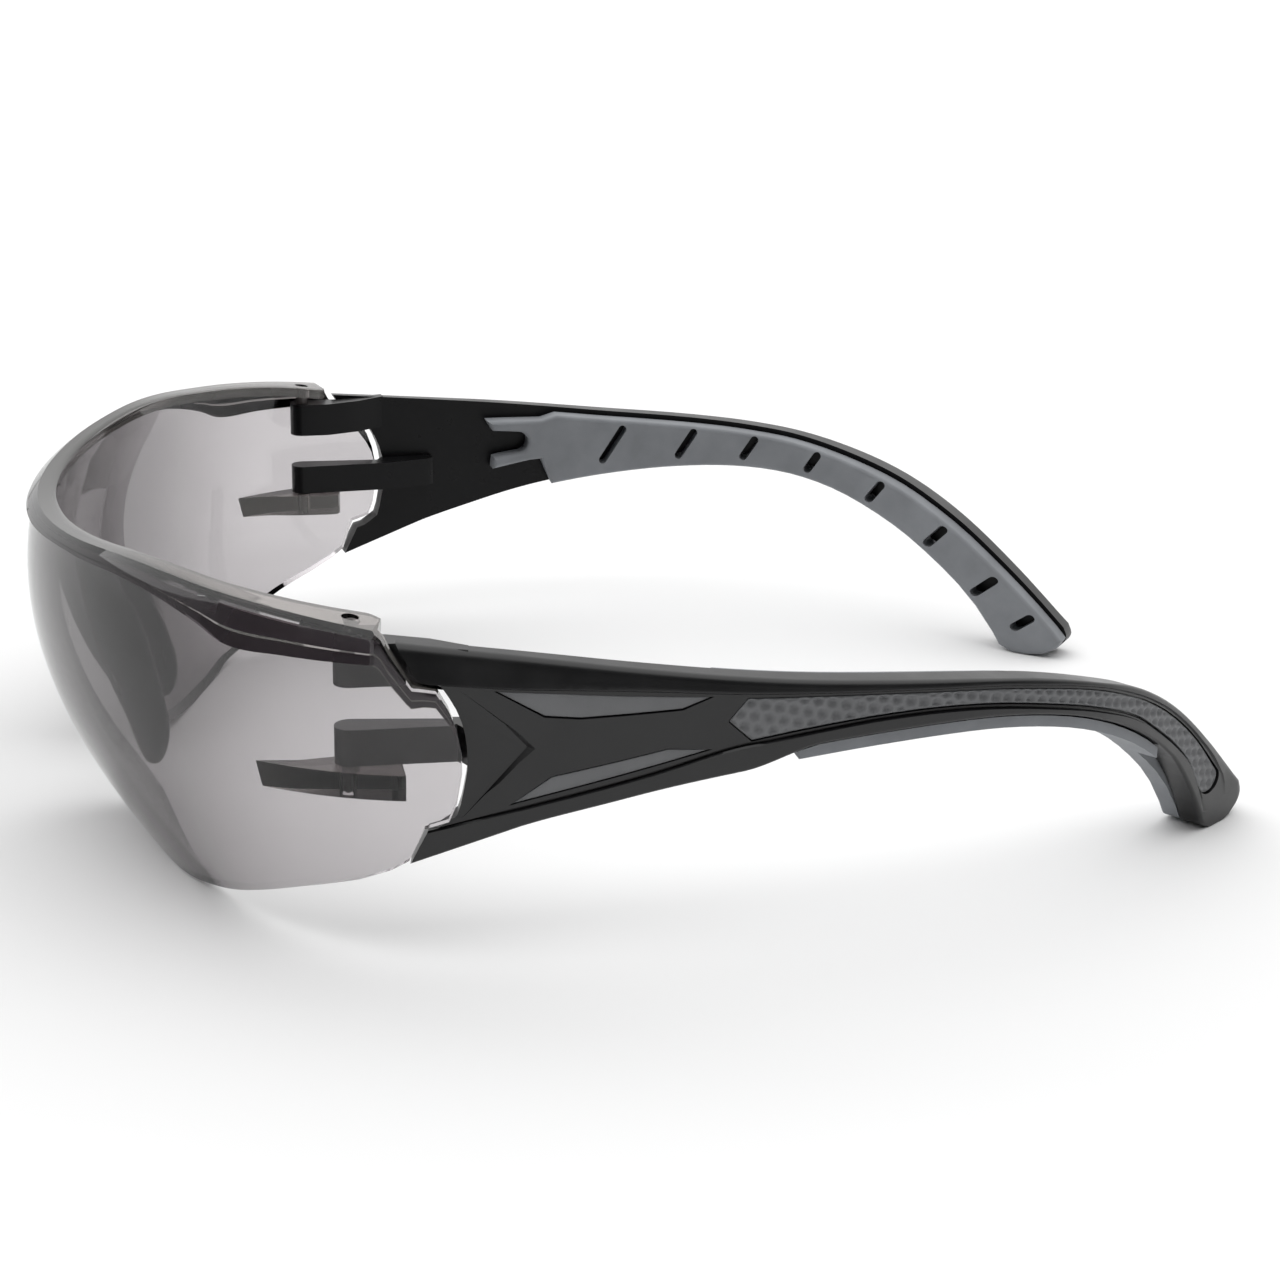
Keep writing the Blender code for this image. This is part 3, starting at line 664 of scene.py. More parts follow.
def lens_column(angle):
    """Closed profile of the lens at an angle, as (z, inset), outer side upwards first."""
    y = plan_point(angle)[1]
    low, high = lens_limits(angle)
    thickness = lens_thickness(y)
    if y < LEDGE_LIMIT_Y:
        proud = BROW_PROUD
        band = brow_band(y)
        chamfer = min(BROW_CHAMFER, band * 0.3)
        rim = (chamfer * 0.85, chamfer * 0.85 + 0.25)
        depth = ledge_depth(y)
        fillet = 0.5
        under = high - LEDGE_THICKNESS
        cove = (0.3, 0.3)
    else:
        proud = 0.0
        band = (high - low) * 0.12
        chamfer = band * 0.15
        rim = (0.12, 0.2)
        depth = thickness
        fillet = 0.0
        under = high - band * 0.3
        cove = (0.0, 0.01)
    ridge = high - band
    face = band - chamfer
    profile = [(low + (ridge - low) * i / LENS_ROWS, 0.0) for i in range(LENS_ROWS + 1)]
    profile += [(ridge + band * 0.05, -proud * 0.95), (ridge + face * 0.42, -proud * 0.6)]
    profile += [(ridge + face * 0.50, -proud * 0.8), (high - chamfer, -proud * 0.2)]
    profile += [(high, rim[0]), (high, rim[1]), (high, (0.3 + depth) / 2), (high, depth - fillet)]
    profile += [(high - fillet * 0.3 - 0.001, depth - fillet * 0.3), (high - fillet - 0.002, depth)]
    profile += [(under, depth), (under - 0.003, thickness + cove[0]), (under - cove[1], thickness)]
    start = under - 0.3
    for i in range(1, LENS_ROWS + 1):
        profile.append((start + (low - start) * i / LENS_ROWS, thickness))
    return profile


def row_finish(row):
    """Material of a row of the lens: 0 for the wall, 1 for the flange's painted light, 2 for a
    band's painted shade.
    """
    if row in PAINTED_LIGHT_ROWS:
        return 1
    if row in PAINTED_SHADE_ROWS:
        return 2
    return 0


def lens_half(side, verts, faces, indices):
    """Add one half of the lens, whose middle column is shared by both halves."""
    columns = []
    for number, angle in enumerate(lens_angles()):
        ids = []
        for z, inset in lens_column(angle):
            x, y, level = lens_point(angle, z, inset)
            if number == 0:
                x = 0.0
            key = (round(x * side, 5), round(y, 5), round(level, 5))
            if key not in verts:
                verts[key] = len(verts)
            ids.append(verts[key])
        columns.append(ids)
    count = len(columns[0])
    for before, after in zip(columns, columns[1:]):
        for i in range(count):
            j = (i + 1) % count
            faces.append((before[i], after[i], after[j], before[j]))
            indices.append(row_finish(i))
    last = columns[-1]
    for i in range(count // 2 - 1):
        faces.append((last[i], last[i + 1], last[count - 2 - i], last[count - 1 - i]))
        indices.append(0)


def build_shelf(side):
    """Lower hinge shelf inside the lens, tapering forwards into it."""
    inner = AXIS_X - LUG_RADIUS
    outline = [(inner + 1.2, SHELF_REAR_Y), (inner + 0.3, SHELF_REAR_Y - 0.5)]
    outline += [(inner, SHELF_REAR_Y - 1.6), (inner, AXIS_Y - 1.5), (58.6, -18.0)]
    level = (SHELF_BOTTOM + SHELF_TOP) / 2
    for y in SHELF_STATIONS:
        outline.append(lens_point(plan_angle_at_y(y), level, SHELF_INSET)[:2])
    shelf = prism("shelf", [(x * side, y) for x, y in outline], SHELF_BOTTOM, SHELF_TOP, 2)
    # The shelf takes the flange's tint and its painted light.
    for polygon in shelf.data.polygons:
        polygon.material_index = 1
    return shelf


def drill(target, side, radius, low, high):
    """Cut a round hole along the hinge's axis."""
    boolean(target, prism("drill", circle((AXIS_X * side, AXIS_Y), radius), low, high, 2))


def build_lens(finishes):
    """The one-piece lens with its brow, bridge and hinge lugs."""
    verts = {}
    faces = []
    indices = []
    for side in (1, -1):
        lens_half(side, verts, faces, indices)
    lens = make_object("lens_shell", list(verts), faces)
    # The flange and band finishes carry painted light and painted shade.
    for finish in ("lens", "flange", "band"):
        lens.data.materials.append(finishes[finish])
    for polygon, index in zip(lens.data.polygons, indices):
        polygon.material_index = index
    for side in (1, -1):
        boolean(lens, build_shelf(side), "UNION")
        drill(lens, side, LUG_HOLE_RADIUS, SHELF_BOTTOM - 1, SHELF_TOP + 1)
        drill(lens, side, LUG_HOLE_RADIUS, SHELF_TOP + 12, top_edge(AXIS_Y) + 2)
    tidy_mesh(lens, MERGE_DISTANCE)
    soften_edges(lens, 0.13, 2, 28.0)
    finish_piece(lens, "front", "lens", ["lens"])


# Nose piece

# Half of the nose piece from the middle outwards: x, z, front y, rear y, half thickness.
NOSE_STATIONS = (
    (0.0, 33.6, -47.0, -42.8, 1.3), (4.0, 32.2, -46.8, -42.0, 1.3), (7.6, 28.2, -46.0, -39.9, 1.3),
    (9.0, 24.6, -45.2, -38.2, 1.2), (10.2, 19.6, -44.0, -37.1, 1.2),
    (11.3, 15.5, -42.5, -36.2, 1.25), (12.3, 11.9, -41.0, -35.4, 1.3),
    (13.0, 8.9, -40.3, -35.6, 1.3), (13.5, 6.6, -39.5, -36.5, 1.1), (13.8, 5.6, -38.8, -37.4, 0.7))
NOSE_GAP = ((-43.3, 20.0), (-41.2, 16.2), (-41.7, 15.2))
NOSE_GAP_REACH = (6.0, 16.0)
NOSE_SIDES = 20


def nose_ring(place, before, after):
    """Rounded section of the nose piece at one station, square to the line between two others."""
    x, z, front, rear, thick = place
    along = Vector((after[0] - before[0], after[1] - before[1])).normalized()
    across = Vector((-along.y, along.x))
    points = []
    for i in range(NOSE_SIDES):
        angle = 2 * math.pi * i / NOSE_SIDES
        out = thick * squared_off(math.cos(angle), 0.7)
        y = (front + rear) / 2 + (rear - front) / 2 * squared_off(math.sin(angle), 0.85)
        points.append((x + across.x * out, y, z + across.y * out))
    return points


def build_nose_piece(finishes):
    """Soft saddle behind the bridge, with a pad and an open strut down each side."""
    stations = [(-s[0],) + s[1:] for s in reversed(NOSE_STATIONS[1:])] + list(NOSE_STATIONS)
    count = len(stations)
    verts = []
    for index, place in enumerate(stations):
        before = stations[max(0, index - 1)]
        after = stations[min(count - 1, index + 1)]
        verts += nose_ring(place, before, after)
    faces = tube_faces(count, NOSE_SIDES)
    faces.append(tuple(range(NOSE_SIDES)))
    faces.append(tuple(reversed(range(len(verts) - NOSE_SIDES, len(verts)))))
    piece = make_object("nose_saddle", verts, faces)
    smooth = piece.modifiers.new("smooth", "SUBSURF")
    smooth.levels = 2
    smooth.render_levels = 2
    apply_modifiers(piece)
    for side in (1, -1):
        gap = prism("gap", NOSE_GAP, side * NOSE_GAP_REACH[0], side * NOSE_GAP_REACH[1])
        boolean(piece, gap)
    tidy_mesh(piece, MERGE_DISTANCE)
    soften_edges(piece, 0.2, 2, 40.0)
    finish_piece(piece, "front", "nose_rubber", ["nose_piece"], finishes)


# Temples

def core_bottom(y):
    """Lower edge of the hard core, which rises above the pad's edge behind the front part."""
    t = clamped((y - CORE_RISE_START) / (CORE_RISE_END - CORE_RISE_START))
    fade = clamped((TEMPLE_HEEL_Y - y) / (TEMPLE_HEEL_Y - CORE_FADE_START))
    return temple_bottom(y) + CORE_RISE * t * t * (3 - 2 * t) * fade


def crossing(curve, low, high):
    """Point where the line from low to high crosses a curve of z against y."""
    before = 0.0
    after = 1.0
    for _ in range(30):
        middle = (before + after) / 2
        y, z = between(low, high, middle)
        if z < curve(y):
            before = middle
        else:
            after = middle
    return y, z


def band_rows(low, lower, upper, high, depth=1.0):
    """Rows of the outer face from its lower edge to its top edge, as ((y, z), x).

    Depth scales the groove, the panel and the top band's tilt.
    """
    rows = []
    width = math.dist(low, lower)
    for distance in HEEL_STEPS:
        share = min(0.8, distance / width)
        rows.append((between(low, lower, share), -round_drop(HEEL_ROUND, distance)))
    for share in (0.82, 0.94):
        rows.append((between(low, lower, share), 0.0))
    panel = math.dist(lower, upper)
    for level, x in GROOVE_PROFILE:
        rows.append((between(lower, upper, level / panel), x * depth))
    for i in range(1, PANEL_ROWS + 1):
        level = GROOVE_WIDTH + (panel - PANEL_MARGIN) * i / PANEL_ROWS
        rows.append((between(lower, upper, level / panel), -PANEL_DEPTH * depth))
    rows.append((between(lower, upper, 1 - 0.05 / panel), -0.08 * depth))
    width = math.dist(upper, high)
    bend = min(width * 0.85, CORE_ROUND)
    for share in (0.0, 0.08, 0.35, 0.7):
        level = (width - bend) * share
        x = -BAND_TILT * depth * max(0.0, level - 0.1)
        rows.append((between(upper, high, level / width), x))
    tilt = BAND_TILT * depth * max(0.0, width - bend - 0.1)
    for share in (1.0, 0.62, 0.34, 0.15, 0.04, 0.0):
        distance = bend * share
        x = -round_drop(bend, distance) - tilt * (1.0 + 0.3 * (1 - share))
        rows.append((between(upper, high, 1 - distance / width), x))
    return rows


def core_column(y):
    """Outer rows of the core at a station, which leans forwards at the bottom near the tip."""
    share = (TEMPLE_HEEL_Y - FAN_START_Y) / (TEMPLE_END_Y - FAN_START_Y)
    foot = y if y < FAN_START_Y else FAN_START_Y + (y - FAN_START_Y) * share
    low = (foot, core_bottom(foot))
    high = (y, temple_top(y))
    lower = crossing(lower_line, low, high)
    upper = crossing(upper_line, low, high)
    return band_rows(low, lower, upper, high, clamped((TEMPLE_END_Y - y) / RELIEF_FADE))


def front_column():
    """Outer rows of the core along its front edge."""
    rows = band_rows(*[(0.0, z) for z in FRONT_LEVELS])
    return [((front_edge(z), z), x) for (_, z), x in rows]


def tip_columns():
    """Outer rows of the core round its tip."""
    heights = [TEMPLE_TOP[-1]] + list(TEMPLE_TIP[:3])
    feet = [TEMPLE_BOTTOM[-1]] + list(reversed(TEMPLE_TIP[3:]))
    columns = []
    for step in range(1, 10):
        ends = []
        for points in (feet, heights):
            y, z = round_through(points, step / 3)
            ends.append((y, max(0.0, z)))
        low, high = ends
        lower = between(low, high, 0.2)
        upper = between(low, high, 0.75)
        columns.append(band_rows(low, lower, upper, high, 0.0))
    return columns


def core_columns():
    """All columns of the core's outer face, from its front edge to its tip."""
    front = front_column()
    start = core_column(FRONT_BLEND_Y)
    columns = []
    for step in range(FRONT_STEPS):
        t = step / FRONT_STEPS
        column = []
        for (first, x0), (second, x1) in zip(front, start):
            column.append((between(first, second, t), x0 + (x1 - x0) * t))
        columns.append(column)
    count = round((TEMPLE_END_Y - FRONT_BLEND_Y) / CORE_STEP)
    for i in range(count + 1):
        columns.append(core_column(FRONT_BLEND_Y + (TEMPLE_END_Y - FRONT_BLEND_Y) * i / count))
    return columns + tip_columns()


def flat_core(name):
    """The core in its flat state: the shaped outer face, a flat back and closed edges."""
    columns = core_columns()
    verts = []
    half = len(columns[0])
    for column in columns:
        verts += [(x, y, z) for (y, z), x in column]
        verts += [(-CORE_THICKNESS, y, z) for (y, z), x in reversed(column)]
    rows = 2 * half
    faces = []
    for c in range(len(columns) - 1):
        here = c * rows
        after = here + rows
        for r in range(rows):
            s = (r + 1) % rows
            faces.append((here + r, after + r, after + s, here + s))
    for start in (0, (len(columns) - 1) * rows):
        for r in range(half - 1):
            faces.append((start + r, start + r + 1, start + rows - 2 - r, start + rows - 1 - r))
    return make_object(name, verts, faces)


def grown(outline, distance):
    """Move each point of a closed outline outwards by a distance."""
    closed = list(outline) + [outline[0]]
    area = sum(a[0] * b[1] - b[0] * a[1] for a, b in zip(closed, closed[1:]))
    turn = 1.0 if area > 0 else -1.0
    result = []
    count = len(outline)
    for i in range(count):
        before = Vector(outline[i - 1])
        here = Vector(outline[i])
        after = Vector(outline[(i + 1) % count])
        first = (here - before).normalized()
        second = (after - here).normalized()
        normal = Vector((first.y + second.y, -first.x - second.x)).normalized() * turn
        width = max(0.5, normal.dot(Vector((first.y, -first.x)) * turn))
        moved = here + normal * (distance / width)
        result.append((moved.x, moved.y))
    return result


def grip_columns(step):
    """Lower and upper ends of the dimpled strip's columns, from its point to its round end."""
    columns = []
    first = ((GRIP_LOWER_START, grip_lower(GRIP_LOWER_START)),
             (GRIP_UPPER_START, grip_upper(GRIP_UPPER_START)))
    for i in range(GRIP_POINT_COLUMNS):
        t = 0.02 + 0.98 * i / GRIP_POINT_COLUMNS
        columns.append(tuple(between(GRIP_POINT, end, t) for end in first))
    count = round((GRIP_END - GRIP_UPPER_START) / step)
    for i in range(count + 1):
        t = i / count
        y_high = GRIP_UPPER_START + (GRIP_END - GRIP_UPPER_START) * t
        y_low = GRIP_LOWER_START + (GRIP_LOWER_END - GRIP_LOWER_START) * t
        columns.append(((y_low, grip_lower(y_low)), (y_high, grip_upper(y_high))))
    low, high = columns[-1]
    middle = ((low[0] + high[0]) / 2, (low[1] + high[1]) / 2)
    along = Vector((high[1] - low[1], low[0] - high[0])).normalized()
    for i in range(1, GRIP_END_COLUMNS):
        angle = math.pi / 2 * i / GRIP_END_COLUMNS
        push = GRIP_BULGE * math.sin(angle)
        column = []
        for end in (low, high):
            y, z = between(middle, end, math.cos(angle))
            column.append((y + along.x * push, z + along.y * push))
        columns.append(tuple(column))
    return columns


def grip_outline():
    """Outline of the dimpled strip."""
    columns = grip_columns(OUTLINE_STEP)
    return [high for _, high in columns] + [low for low, _ in reversed(columns)]


def bend_temple(plate, side, step=1.5):
    """Cut a flat plate at regular stations and bend it to the temple's plan curve."""
    work = bmesh.new()
    work.from_mesh(plate.data)
    y = CUT_START_Y
    while step and y < CUT_END_Y:
        geometry = work.verts[:] + work.edges[:] + work.faces[:]
        place = (0, (y - MIDDLE_Y) * MM, 0)
        bmesh.ops.bisect_plane(work, geom=geometry, plane_co=place, plane_no=(0, 1, 0), dist=1e-6)
        y += step
    for vert in work.verts:
        offset = vert.co.x / MM
        y = vert.co.y / MM + MIDDLE_Y
        slope = (temple_plan(y + 0.05) - temple_plan(y - 0.05)) / 0.1
        size = math.hypot(1.0, slope)
        vert.co.x = side * (temple_plan(y) + offset / size) * MM
        vert.co.y = (y - offset * slope / size - MIDDLE_Y) * MM
    bmesh.ops.remove_doubles(work, verts=work.verts, dist=MERGE_DISTANCE)
    bmesh.ops.recalc_face_normals(work, faces=work.faces)
    work.to_mesh(plate.data)
    work.free()


def build_tongue(side, span, root):
    """Hinge tongue: a bar whose front is round about the hinge axis, rooted in the temple."""
    outline = circle((AXIS_X, AXIS_Y), TONGUE_RADIUS, 18, 180.0, 180.0) + list(root)
    return prism("tongue", [(x * side, y) for x, y in outline], span[0], span[1], 2)


def cut_front_panel(core):
    """Sink the panel behind the front edge towards the chevron's point, with sloping walls."""
    edge = [(front_edge(z) - 1.5, z) for z in CHEVRON_LEVELS]
    foot = [(-PANEL_DEPTH - depth, y, z) for y, z, depth in CHEVRON]
    crest = []
    for y, z, depth in CHEVRON:
        run = (CHEVRON_TOP + PANEL_DEPTH + depth) * CHEVRON_SLOPE * depth / CHEVRON_DEPTH
        crest.append((CHEVRON_TOP, y + run, z))
    verts = [(-PANEL_DEPTH + 0.01, y, z) for y, z in edge] + foot
    verts += [(CHEVRON_TOP, y, z) for y, z in edge] + crest
    count = len(edge) + len(foot)
    point = len(edge) + 2
    faces = []
    for i in range(count):
        j = (i + 1) % count
        faces.append((i, count + i, count + j, j))
        if point not in (i, j):
            faces.append((i, j, point))
    faces.append(tuple(range(count, 2 * count)))
    boolean(core, make_object("panel", verts, faces))


def build_core(side, suffix, finishes):
    """The hard core: bands, panels, pockets and hinge tongues."""
    core = flat_core("temple_shell_" + suffix)
    cut_front_panel(core)
    for outline in (grip_outline(), UPPER_WINDOW, LOWER_WINDOW):
        pocket = prism("pocket", grown(outline, INLAY_GAP), -POCKET_DEPTH, 1.0)
        boolean(core, pocket)
    bend_temple(core, side)
    for span, root in ((LOWER_TONGUE, LOWER_ROOT), (UPPER_TONGUE, UPPER_ROOT)):
        boolean(core, build_tongue(side, span, root), "UNION")
    drill(core, side, PIN_HOLE_RADIUS, LOWER_TONGUE[0] - 1, LOWER_TONGUE[1] - 1.2)
    drill(core, side, PIN_HOLE_RADIUS, UPPER_TONGUE[0] + 1.2, UPPER_TONGUE[1] + 1)
    tidy_mesh(core, MERGE_DISTANCE)
    core.data.materials.clear()
    for finish in ("black_plastic", "black_inside"):
        core.data.materials.append(finishes[finish])
    for polygon in core.data.polygons:
        # Faces turned inwards take the copy that reflects less, as painted shade on the inner side.
        polygon.material_index = 1 if polygon.normal.x * side < -0.6 else 0
    soften_edges(core, 0.12, 2, 35.0)
    finish_piece(core, "arm_" + suffix, "black_plastic", ["temple_" + suffix])


def pad_top(y):
    """Upper edge of the inner pad, a little below the core's."""
    return temple_top(y) - PAD_DROP


def pad_outline():
    """Side outline of the inner pad, whose front has two fingers with a notch between them."""
    outline = sampled(pad_top, PAD_FRONT_Y, TEMPLE_END_Y - 0.8, OUTLINE_STEP)
    outline += TEMPLE_TIP
    outline += sampled(temple_bottom, TEMPLE_HEEL_Y, PAD_FRONT_Y - 0.7, OUTLINE_STEP)
    outline += PAD_LOWER_FINGER
    outline += circle(PAD_NOTCH, PAD_NOTCH_RADIUS, 12, -90.0, 180.0)
    outline += PAD_UPPER_FINGER
    return outline


def lip_outline():
    """Side outline of the pad's lip, a strip below the core's lower edge."""
    start = CORE_RISE_END - 3.0
    outline = sampled(temple_bottom, start, LIP_END_Y, OUTLINE_STEP)
    outline += [(y, z - PAD_GAP) for y, z in sampled(core_bottom, LIP_END_Y, start, OUTLINE_STEP)]
    return outline


def slot_outline(y, length, angle):
    """Outline of one slanted, round-ended slot in the inner pad."""
    top = temple_top(y)
    bottom = temple_bottom(y) if y < TEMPLE_HEEL_Y else SLOT_FOOT_LEVEL
    middle = (top + bottom) / 2
    direction = Vector((math.cos(math.radians(angle)), math.sin(math.radians(angle))))
    reach = length - SLOT_WIDTH
    outline = []
    for end, start in ((0.5, angle - 90.0), (-0.5, angle + 90.0)):
        centre = (y + direction.x * reach * end, middle + direction.y * reach * end)
        outline += circle(centre, SLOT_WIDTH / 2, 10, start, 180.0)
    return outline


def round_back(plate, back, width):
    """Round the outline edges of a flat plate's inner face."""
    work = bmesh.new()
    work.from_mesh(plate.data)
    edges = [e for e in work.edges if all(abs(v.co.x - back * MM) < 1e-6 for v in e.verts)]
    bmesh.ops.bevel(work, geom=edges, offset=width * MM, segments=4, profile=0.5,
                    affect="EDGES", clamp_overlap=True)
    work.to_mesh(plate.data)
    work.free()


def build_pad(side, suffix, finishes):
    """The soft inner pad with its slots, rounded edges and lower lip."""
    back = -CORE_THICKNESS - PAD_GAP
    pad = prism("pad_shell_" + suffix, pad_outline(), back - PAD_THICKNESS, back)
    round_back(pad, back - PAD_THICKNESS, PAD_ROUND)
    boolean(pad, prism("lip", lip_outline(), back - 1.0, -LIP_INSET), "UNION")
    for y, length, angle in SLOTS:
        outline = slot_outline(y, length, angle)
        boolean(pad, prism("slot", outline, back - PAD_THICKNESS - 1, back + 0.5))
    bend_temple(pad, side)
    soften_edges(pad, 0.15, 2, 38.0)
    finish_piece(pad, "arm_" + suffix, "pad_rubber", ["temple_pad_" + suffix], finishes)


def arc_lengths():
    """Length along the temple's outer face at each tenth of a millimetre of y."""
    lengths = [0.0]
    for i in range(1, 1150):
        slope = (temple_plan(i * 0.1) - temple_plan(i * 0.1 - 0.1)) / 0.1
        lengths.append(lengths[-1] + 0.1 * math.hypot(1.0, slope))
    return lengths


def dimple_depth(along, up):
    """Depth of the nearest dimple in a hexagonal pattern whose rows fall towards the rear."""
    turn = math.radians(DIMPLE_TURN)
    row_way = along * math.cos(turn) - up * math.sin(turn)
    across = along * math.sin(turn) + up * math.cos(turn)
    row = round(across / (DIMPLE_PITCH * DIMPLE_ROW_RATIO))
    shift = 0.5 * DIMPLE_PITCH if row % 2 else 0.0
    column = round((row_way - shift) / DIMPLE_PITCH)
    rise = across - row * DIMPLE_PITCH * DIMPLE_ROW_RATIO
    away = math.hypot(row_way - shift - column * DIMPLE_PITCH, rise)
    if away >= DIMPLE_RADIUS:
        return 0.0
    return DIMPLE_DEPTH * (0.5 + 0.5 * math.cos(math.pi * away / DIMPLE_RADIUS)) ** 0.6


def grip_point(low, high, t, lengths):
    """Point on the strip's face at a share t from low to high, with its dimple and rolled edge."""
    y, z = between(low, high, t)
    edge = min(t, 1 - t) * math.dist(low, high)
    roll = GRIP_ROLL * max(0.0, 1 - edge / 0.35) ** 2
    quiet = clamped((edge - 0.1) / 0.25)
    along = lengths[int(y * 10)] + (y * 10 % 1) * 0.1
    return -INLAY_TOP - roll - dimple_depth(along, z) * quiet, y, z


def grip_faces(count, stride):
    """Faces of the strip: its face, a grid of columns of stride points, then edges and back."""
    faces = []
    top = stride - 1
    back = count * stride
    for c in range(count - 1):
        here = c * stride
        after = here + stride
        for r in range(top):
            faces.append((here + r, after + r, after + r + 1, here + r + 1))
        b = back + 2 * c
        faces.append((b, b + 1, b + 3, b + 2))
        faces.append((here, b, b + 2, after))
        faces.append((here + top, after + top, b + 3, b + 1))
    for c in (0, count - 1):
        b = back + 2 * c
        faces.append(tuple(range(c * stride, (c + 1) * stride)) + (b + 1, b))
    return faces


def build_grip(side, suffix, finishes):
    """The dimpled strip, as a fine grid with real dimples and a plain back."""
    columns = grip_columns(GRIP_STEP)
    lengths = arc_lengths()
    verts = []
    for low, high in columns:
        for r in range(GRIP_ROWS + 1):
            verts.append(grip_point(low, high, r / GRIP_ROWS, lengths))
    for column in columns:
        verts += [(INLAY_GAP - POCKET_DEPTH, y, z) for y, z in column]
    faces = grip_faces(len(columns), GRIP_ROWS + 1)
    grip = make_object("grip_strip_" + suffix, verts, faces)
    bend_temple(grip, side, 0)
    shade_smooth(grip)
    finish_piece(grip, "arm_" + suffix, "inlay_rubber", ["grip_inlay_" + suffix], finishes)


def build_windows(side, suffix, finishes):
    """The two plain soft windows ahead of the dimpled strip."""
    base = INLAY_GAP - POCKET_DEPTH
    for name, outline in (("upper_window", UPPER_WINDOW), ("lower_window", LOWER_WINDOW)):
        window = prism(name + "_face_" + suffix, outline, base, -INLAY_TOP - WINDOW_SINK)
        bend_temple(window, side)
        soften_edges(window, 0.12, 2, 35.0)
        finish_piece(window, "arm_" + suffix, "inlay_rubber", [name + "_" + suffix], finishes)


def build_pins(side, suffix, finishes):
    """The two hinge pins, each a turned rod with chamfered ends."""
    spans = {"upper": (UPPER_TONGUE[0] + 1.4, top_edge(AXIS_Y) - 0.12),
             "lower": (SHELF_BOTTOM + 0.1, LOWER_TONGUE[1] - 1.4)}
    sides = 32
    for name, (low, high) in spans.items():
        profile = ((0.55, low), (PIN_RADIUS, low + 0.3), (PIN_RADIUS, high - 0.1), (0.8, high),
                   (0.35, high), (0.25, high - 0.15))
        verts = []
        for radius, level in profile:
            verts += [(x, y, level) for x, y in circle((side * AXIS_X, AXIS_Y), radius, sides)]
        faces = tube_faces(len(profile), sides)
        faces.append(tuple(range(sides)))
        faces.append(tuple(range(len(verts) - sides, len(verts))))
        pin = make_object("pin_%s_%s" % (name, suffix), verts, faces)
        soften_edges(pin, 0.04, 1, 35.0)
        node = "hinge_pin_%s_%s" % (name, suffix)
        finish_piece(pin, "arm_" + suffix, "pin_plastic", [node], finishes)


# Studio

def add_camera():
    """The camera beside and above the wearer's left side."""
    data = bpy.data.cameras.new("camera")
    data.lens = CAMERA_LENS
    data.sensor_width = SENSOR_WIDTH
    data.clip_start = 0.01
    data.clip_end = 50.0
    camera = place_object("camera", data)
    view = Vector(CAMERA_VIEW).normalized()
    right = Vector(CAMERA_RIGHT).normalized()
    up = right.cross(view)
    turn = Matrix((right, up, -view)).transposed().to_4x4()
    camera.matrix_world = Matrix.Translation(Vector(CAMERA_PLACE) * MM) @ turn
    bpy.context.scene.camera = camera


def add_floor():
    """A plain white floor."""
    half = FLOOR_SIZE / 2
    corners = [(-half, -half, 0), (half, -half, 0), (half, half, 0), (-half, half, 0)]
    mesh = bpy.data.meshes.new("floor")
    mesh.from_pydata(corners, [], [(0, 1, 2, 3)])
    floor = place_object("floor", mesh)
    made, tree, shader = new_material("floor_white")
    wash = noise_node(tree, 3.0)
    tint(tree, wash, (0.86, 0.86, 0.86), (0.88, 0.88, 0.88), shader.inputs["Base Color"])
    shader.inputs["Roughness"].default_value = 0.9
    shader.inputs["Specular IOR Level"].default_value = 0.1
    mesh.materials.append(made)


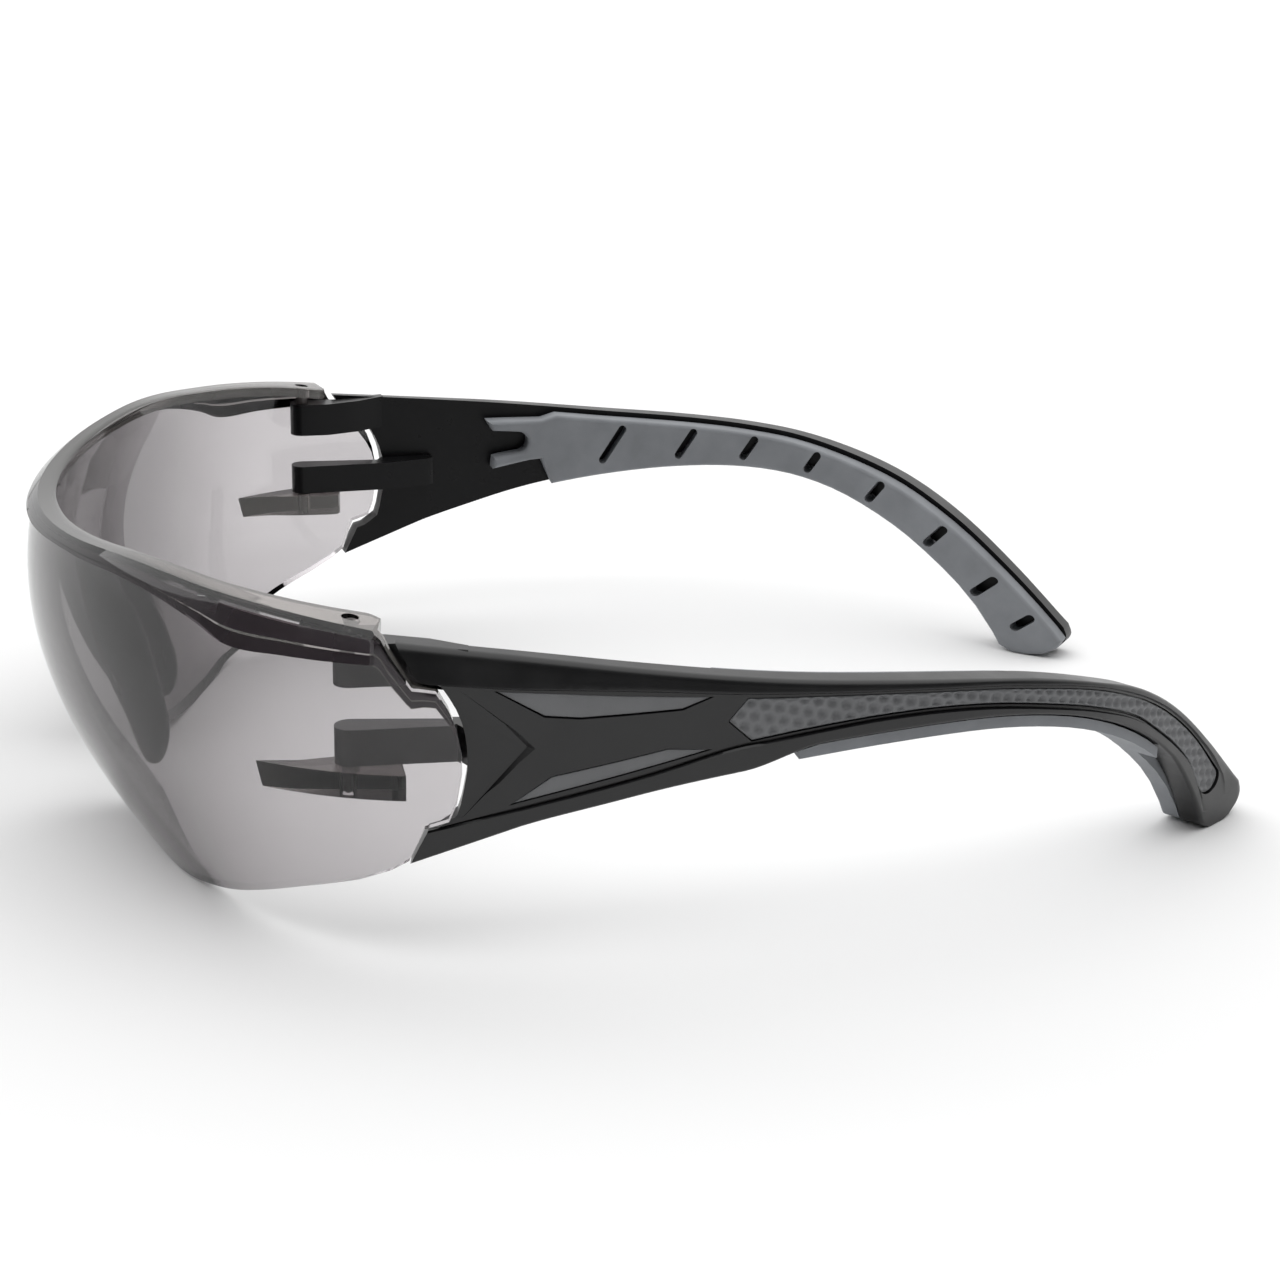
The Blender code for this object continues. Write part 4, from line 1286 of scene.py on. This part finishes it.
def add_world():
    """Soft surrounding light: bright all round the horizon, dim above on one side."""
    world = bpy.data.worlds.new("studio")
    bpy.context.scene.world = world
    world.use_nodes = True
    tree = world.node_tree
    place = tree.nodes.new("ShaderNodeTexCoord")
    parts = tree.nodes.new("ShaderNodeSeparateXYZ")
    tree.links.new(place.outputs["Generated"], parts.inputs["Vector"])
    sides = tree.nodes.new("ShaderNodeMapRange")
    sides.interpolation_type = "SMOOTHSTEP"
    sides.inputs["From Min"].default_value = -0.15
    sides.inputs["From Max"].default_value = 0.35
    tree.links.new(parts.outputs["X"], sides.inputs["Value"])
    blend = tree.nodes.new("ShaderNodeMix")
    blend.data_type = "RGBA"
    tree.links.new(sides.outputs["Result"], blend.inputs["Factor"])
    for stops, socket in ((BRIGHT_SIDE, blend.inputs[6]), (DIM_SIDE, blend.inputs[7])):
        ramp = tree.nodes.new("ShaderNodeValToRGB")
        while len(ramp.color_ramp.elements) < len(stops):
            ramp.color_ramp.elements.new(0.5)
        for element, (position, value) in zip(ramp.color_ramp.elements, stops):
            element.position = position
            element.color = (value, value, value, 1.0)
        tree.links.new(parts.outputs["Z"], ramp.inputs["Fac"])
        tree.links.new(ramp.outputs["Color"], socket)
    tree.links.new(blend.outputs[2], tree.nodes["Background"].inputs["Color"])


def add_light(name, place, target, size, power):
    """A large soft area light aimed at a point."""
    data = bpy.data.lights.new(name, "AREA")
    data.shape = "RECTANGLE"
    data.size = size[0]
    data.size_y = size[1]
    data.energy = power
    light = place_object(name, data)
    light.location = place
    aim = Vector(target) - Vector(place)
    light.rotation_euler = aim.to_track_quat("-Z", "Y").to_euler()


def build_studio():
    """Camera, floor and light."""
    add_camera()
    add_floor()
    add_world()
    add_light("overhead", (-1.0, 0.0, 2.2), (-1.0, 0.0, 0.0), (5.0, 6.0), OVERHEAD_POWER)
    bpy.context.scene.view_settings.view_transform = "Standard"


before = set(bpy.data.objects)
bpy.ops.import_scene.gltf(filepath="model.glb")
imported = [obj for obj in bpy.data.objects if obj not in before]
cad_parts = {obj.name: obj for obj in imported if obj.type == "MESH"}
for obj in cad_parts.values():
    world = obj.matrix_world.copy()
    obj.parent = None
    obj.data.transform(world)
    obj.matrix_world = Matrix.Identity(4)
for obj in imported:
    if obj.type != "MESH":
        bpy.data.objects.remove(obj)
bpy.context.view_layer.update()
materials = build_materials()
build_lens(materials)
build_nose_piece(materials)
for sign, label in ((1, "left"), (-1, "right")):
    build_core(sign, label, materials)
    build_pad(sign, label, materials)
    build_grip(sign, label, materials)
    build_windows(sign, label, materials)
    build_pins(sign, label, materials)
build_studio()
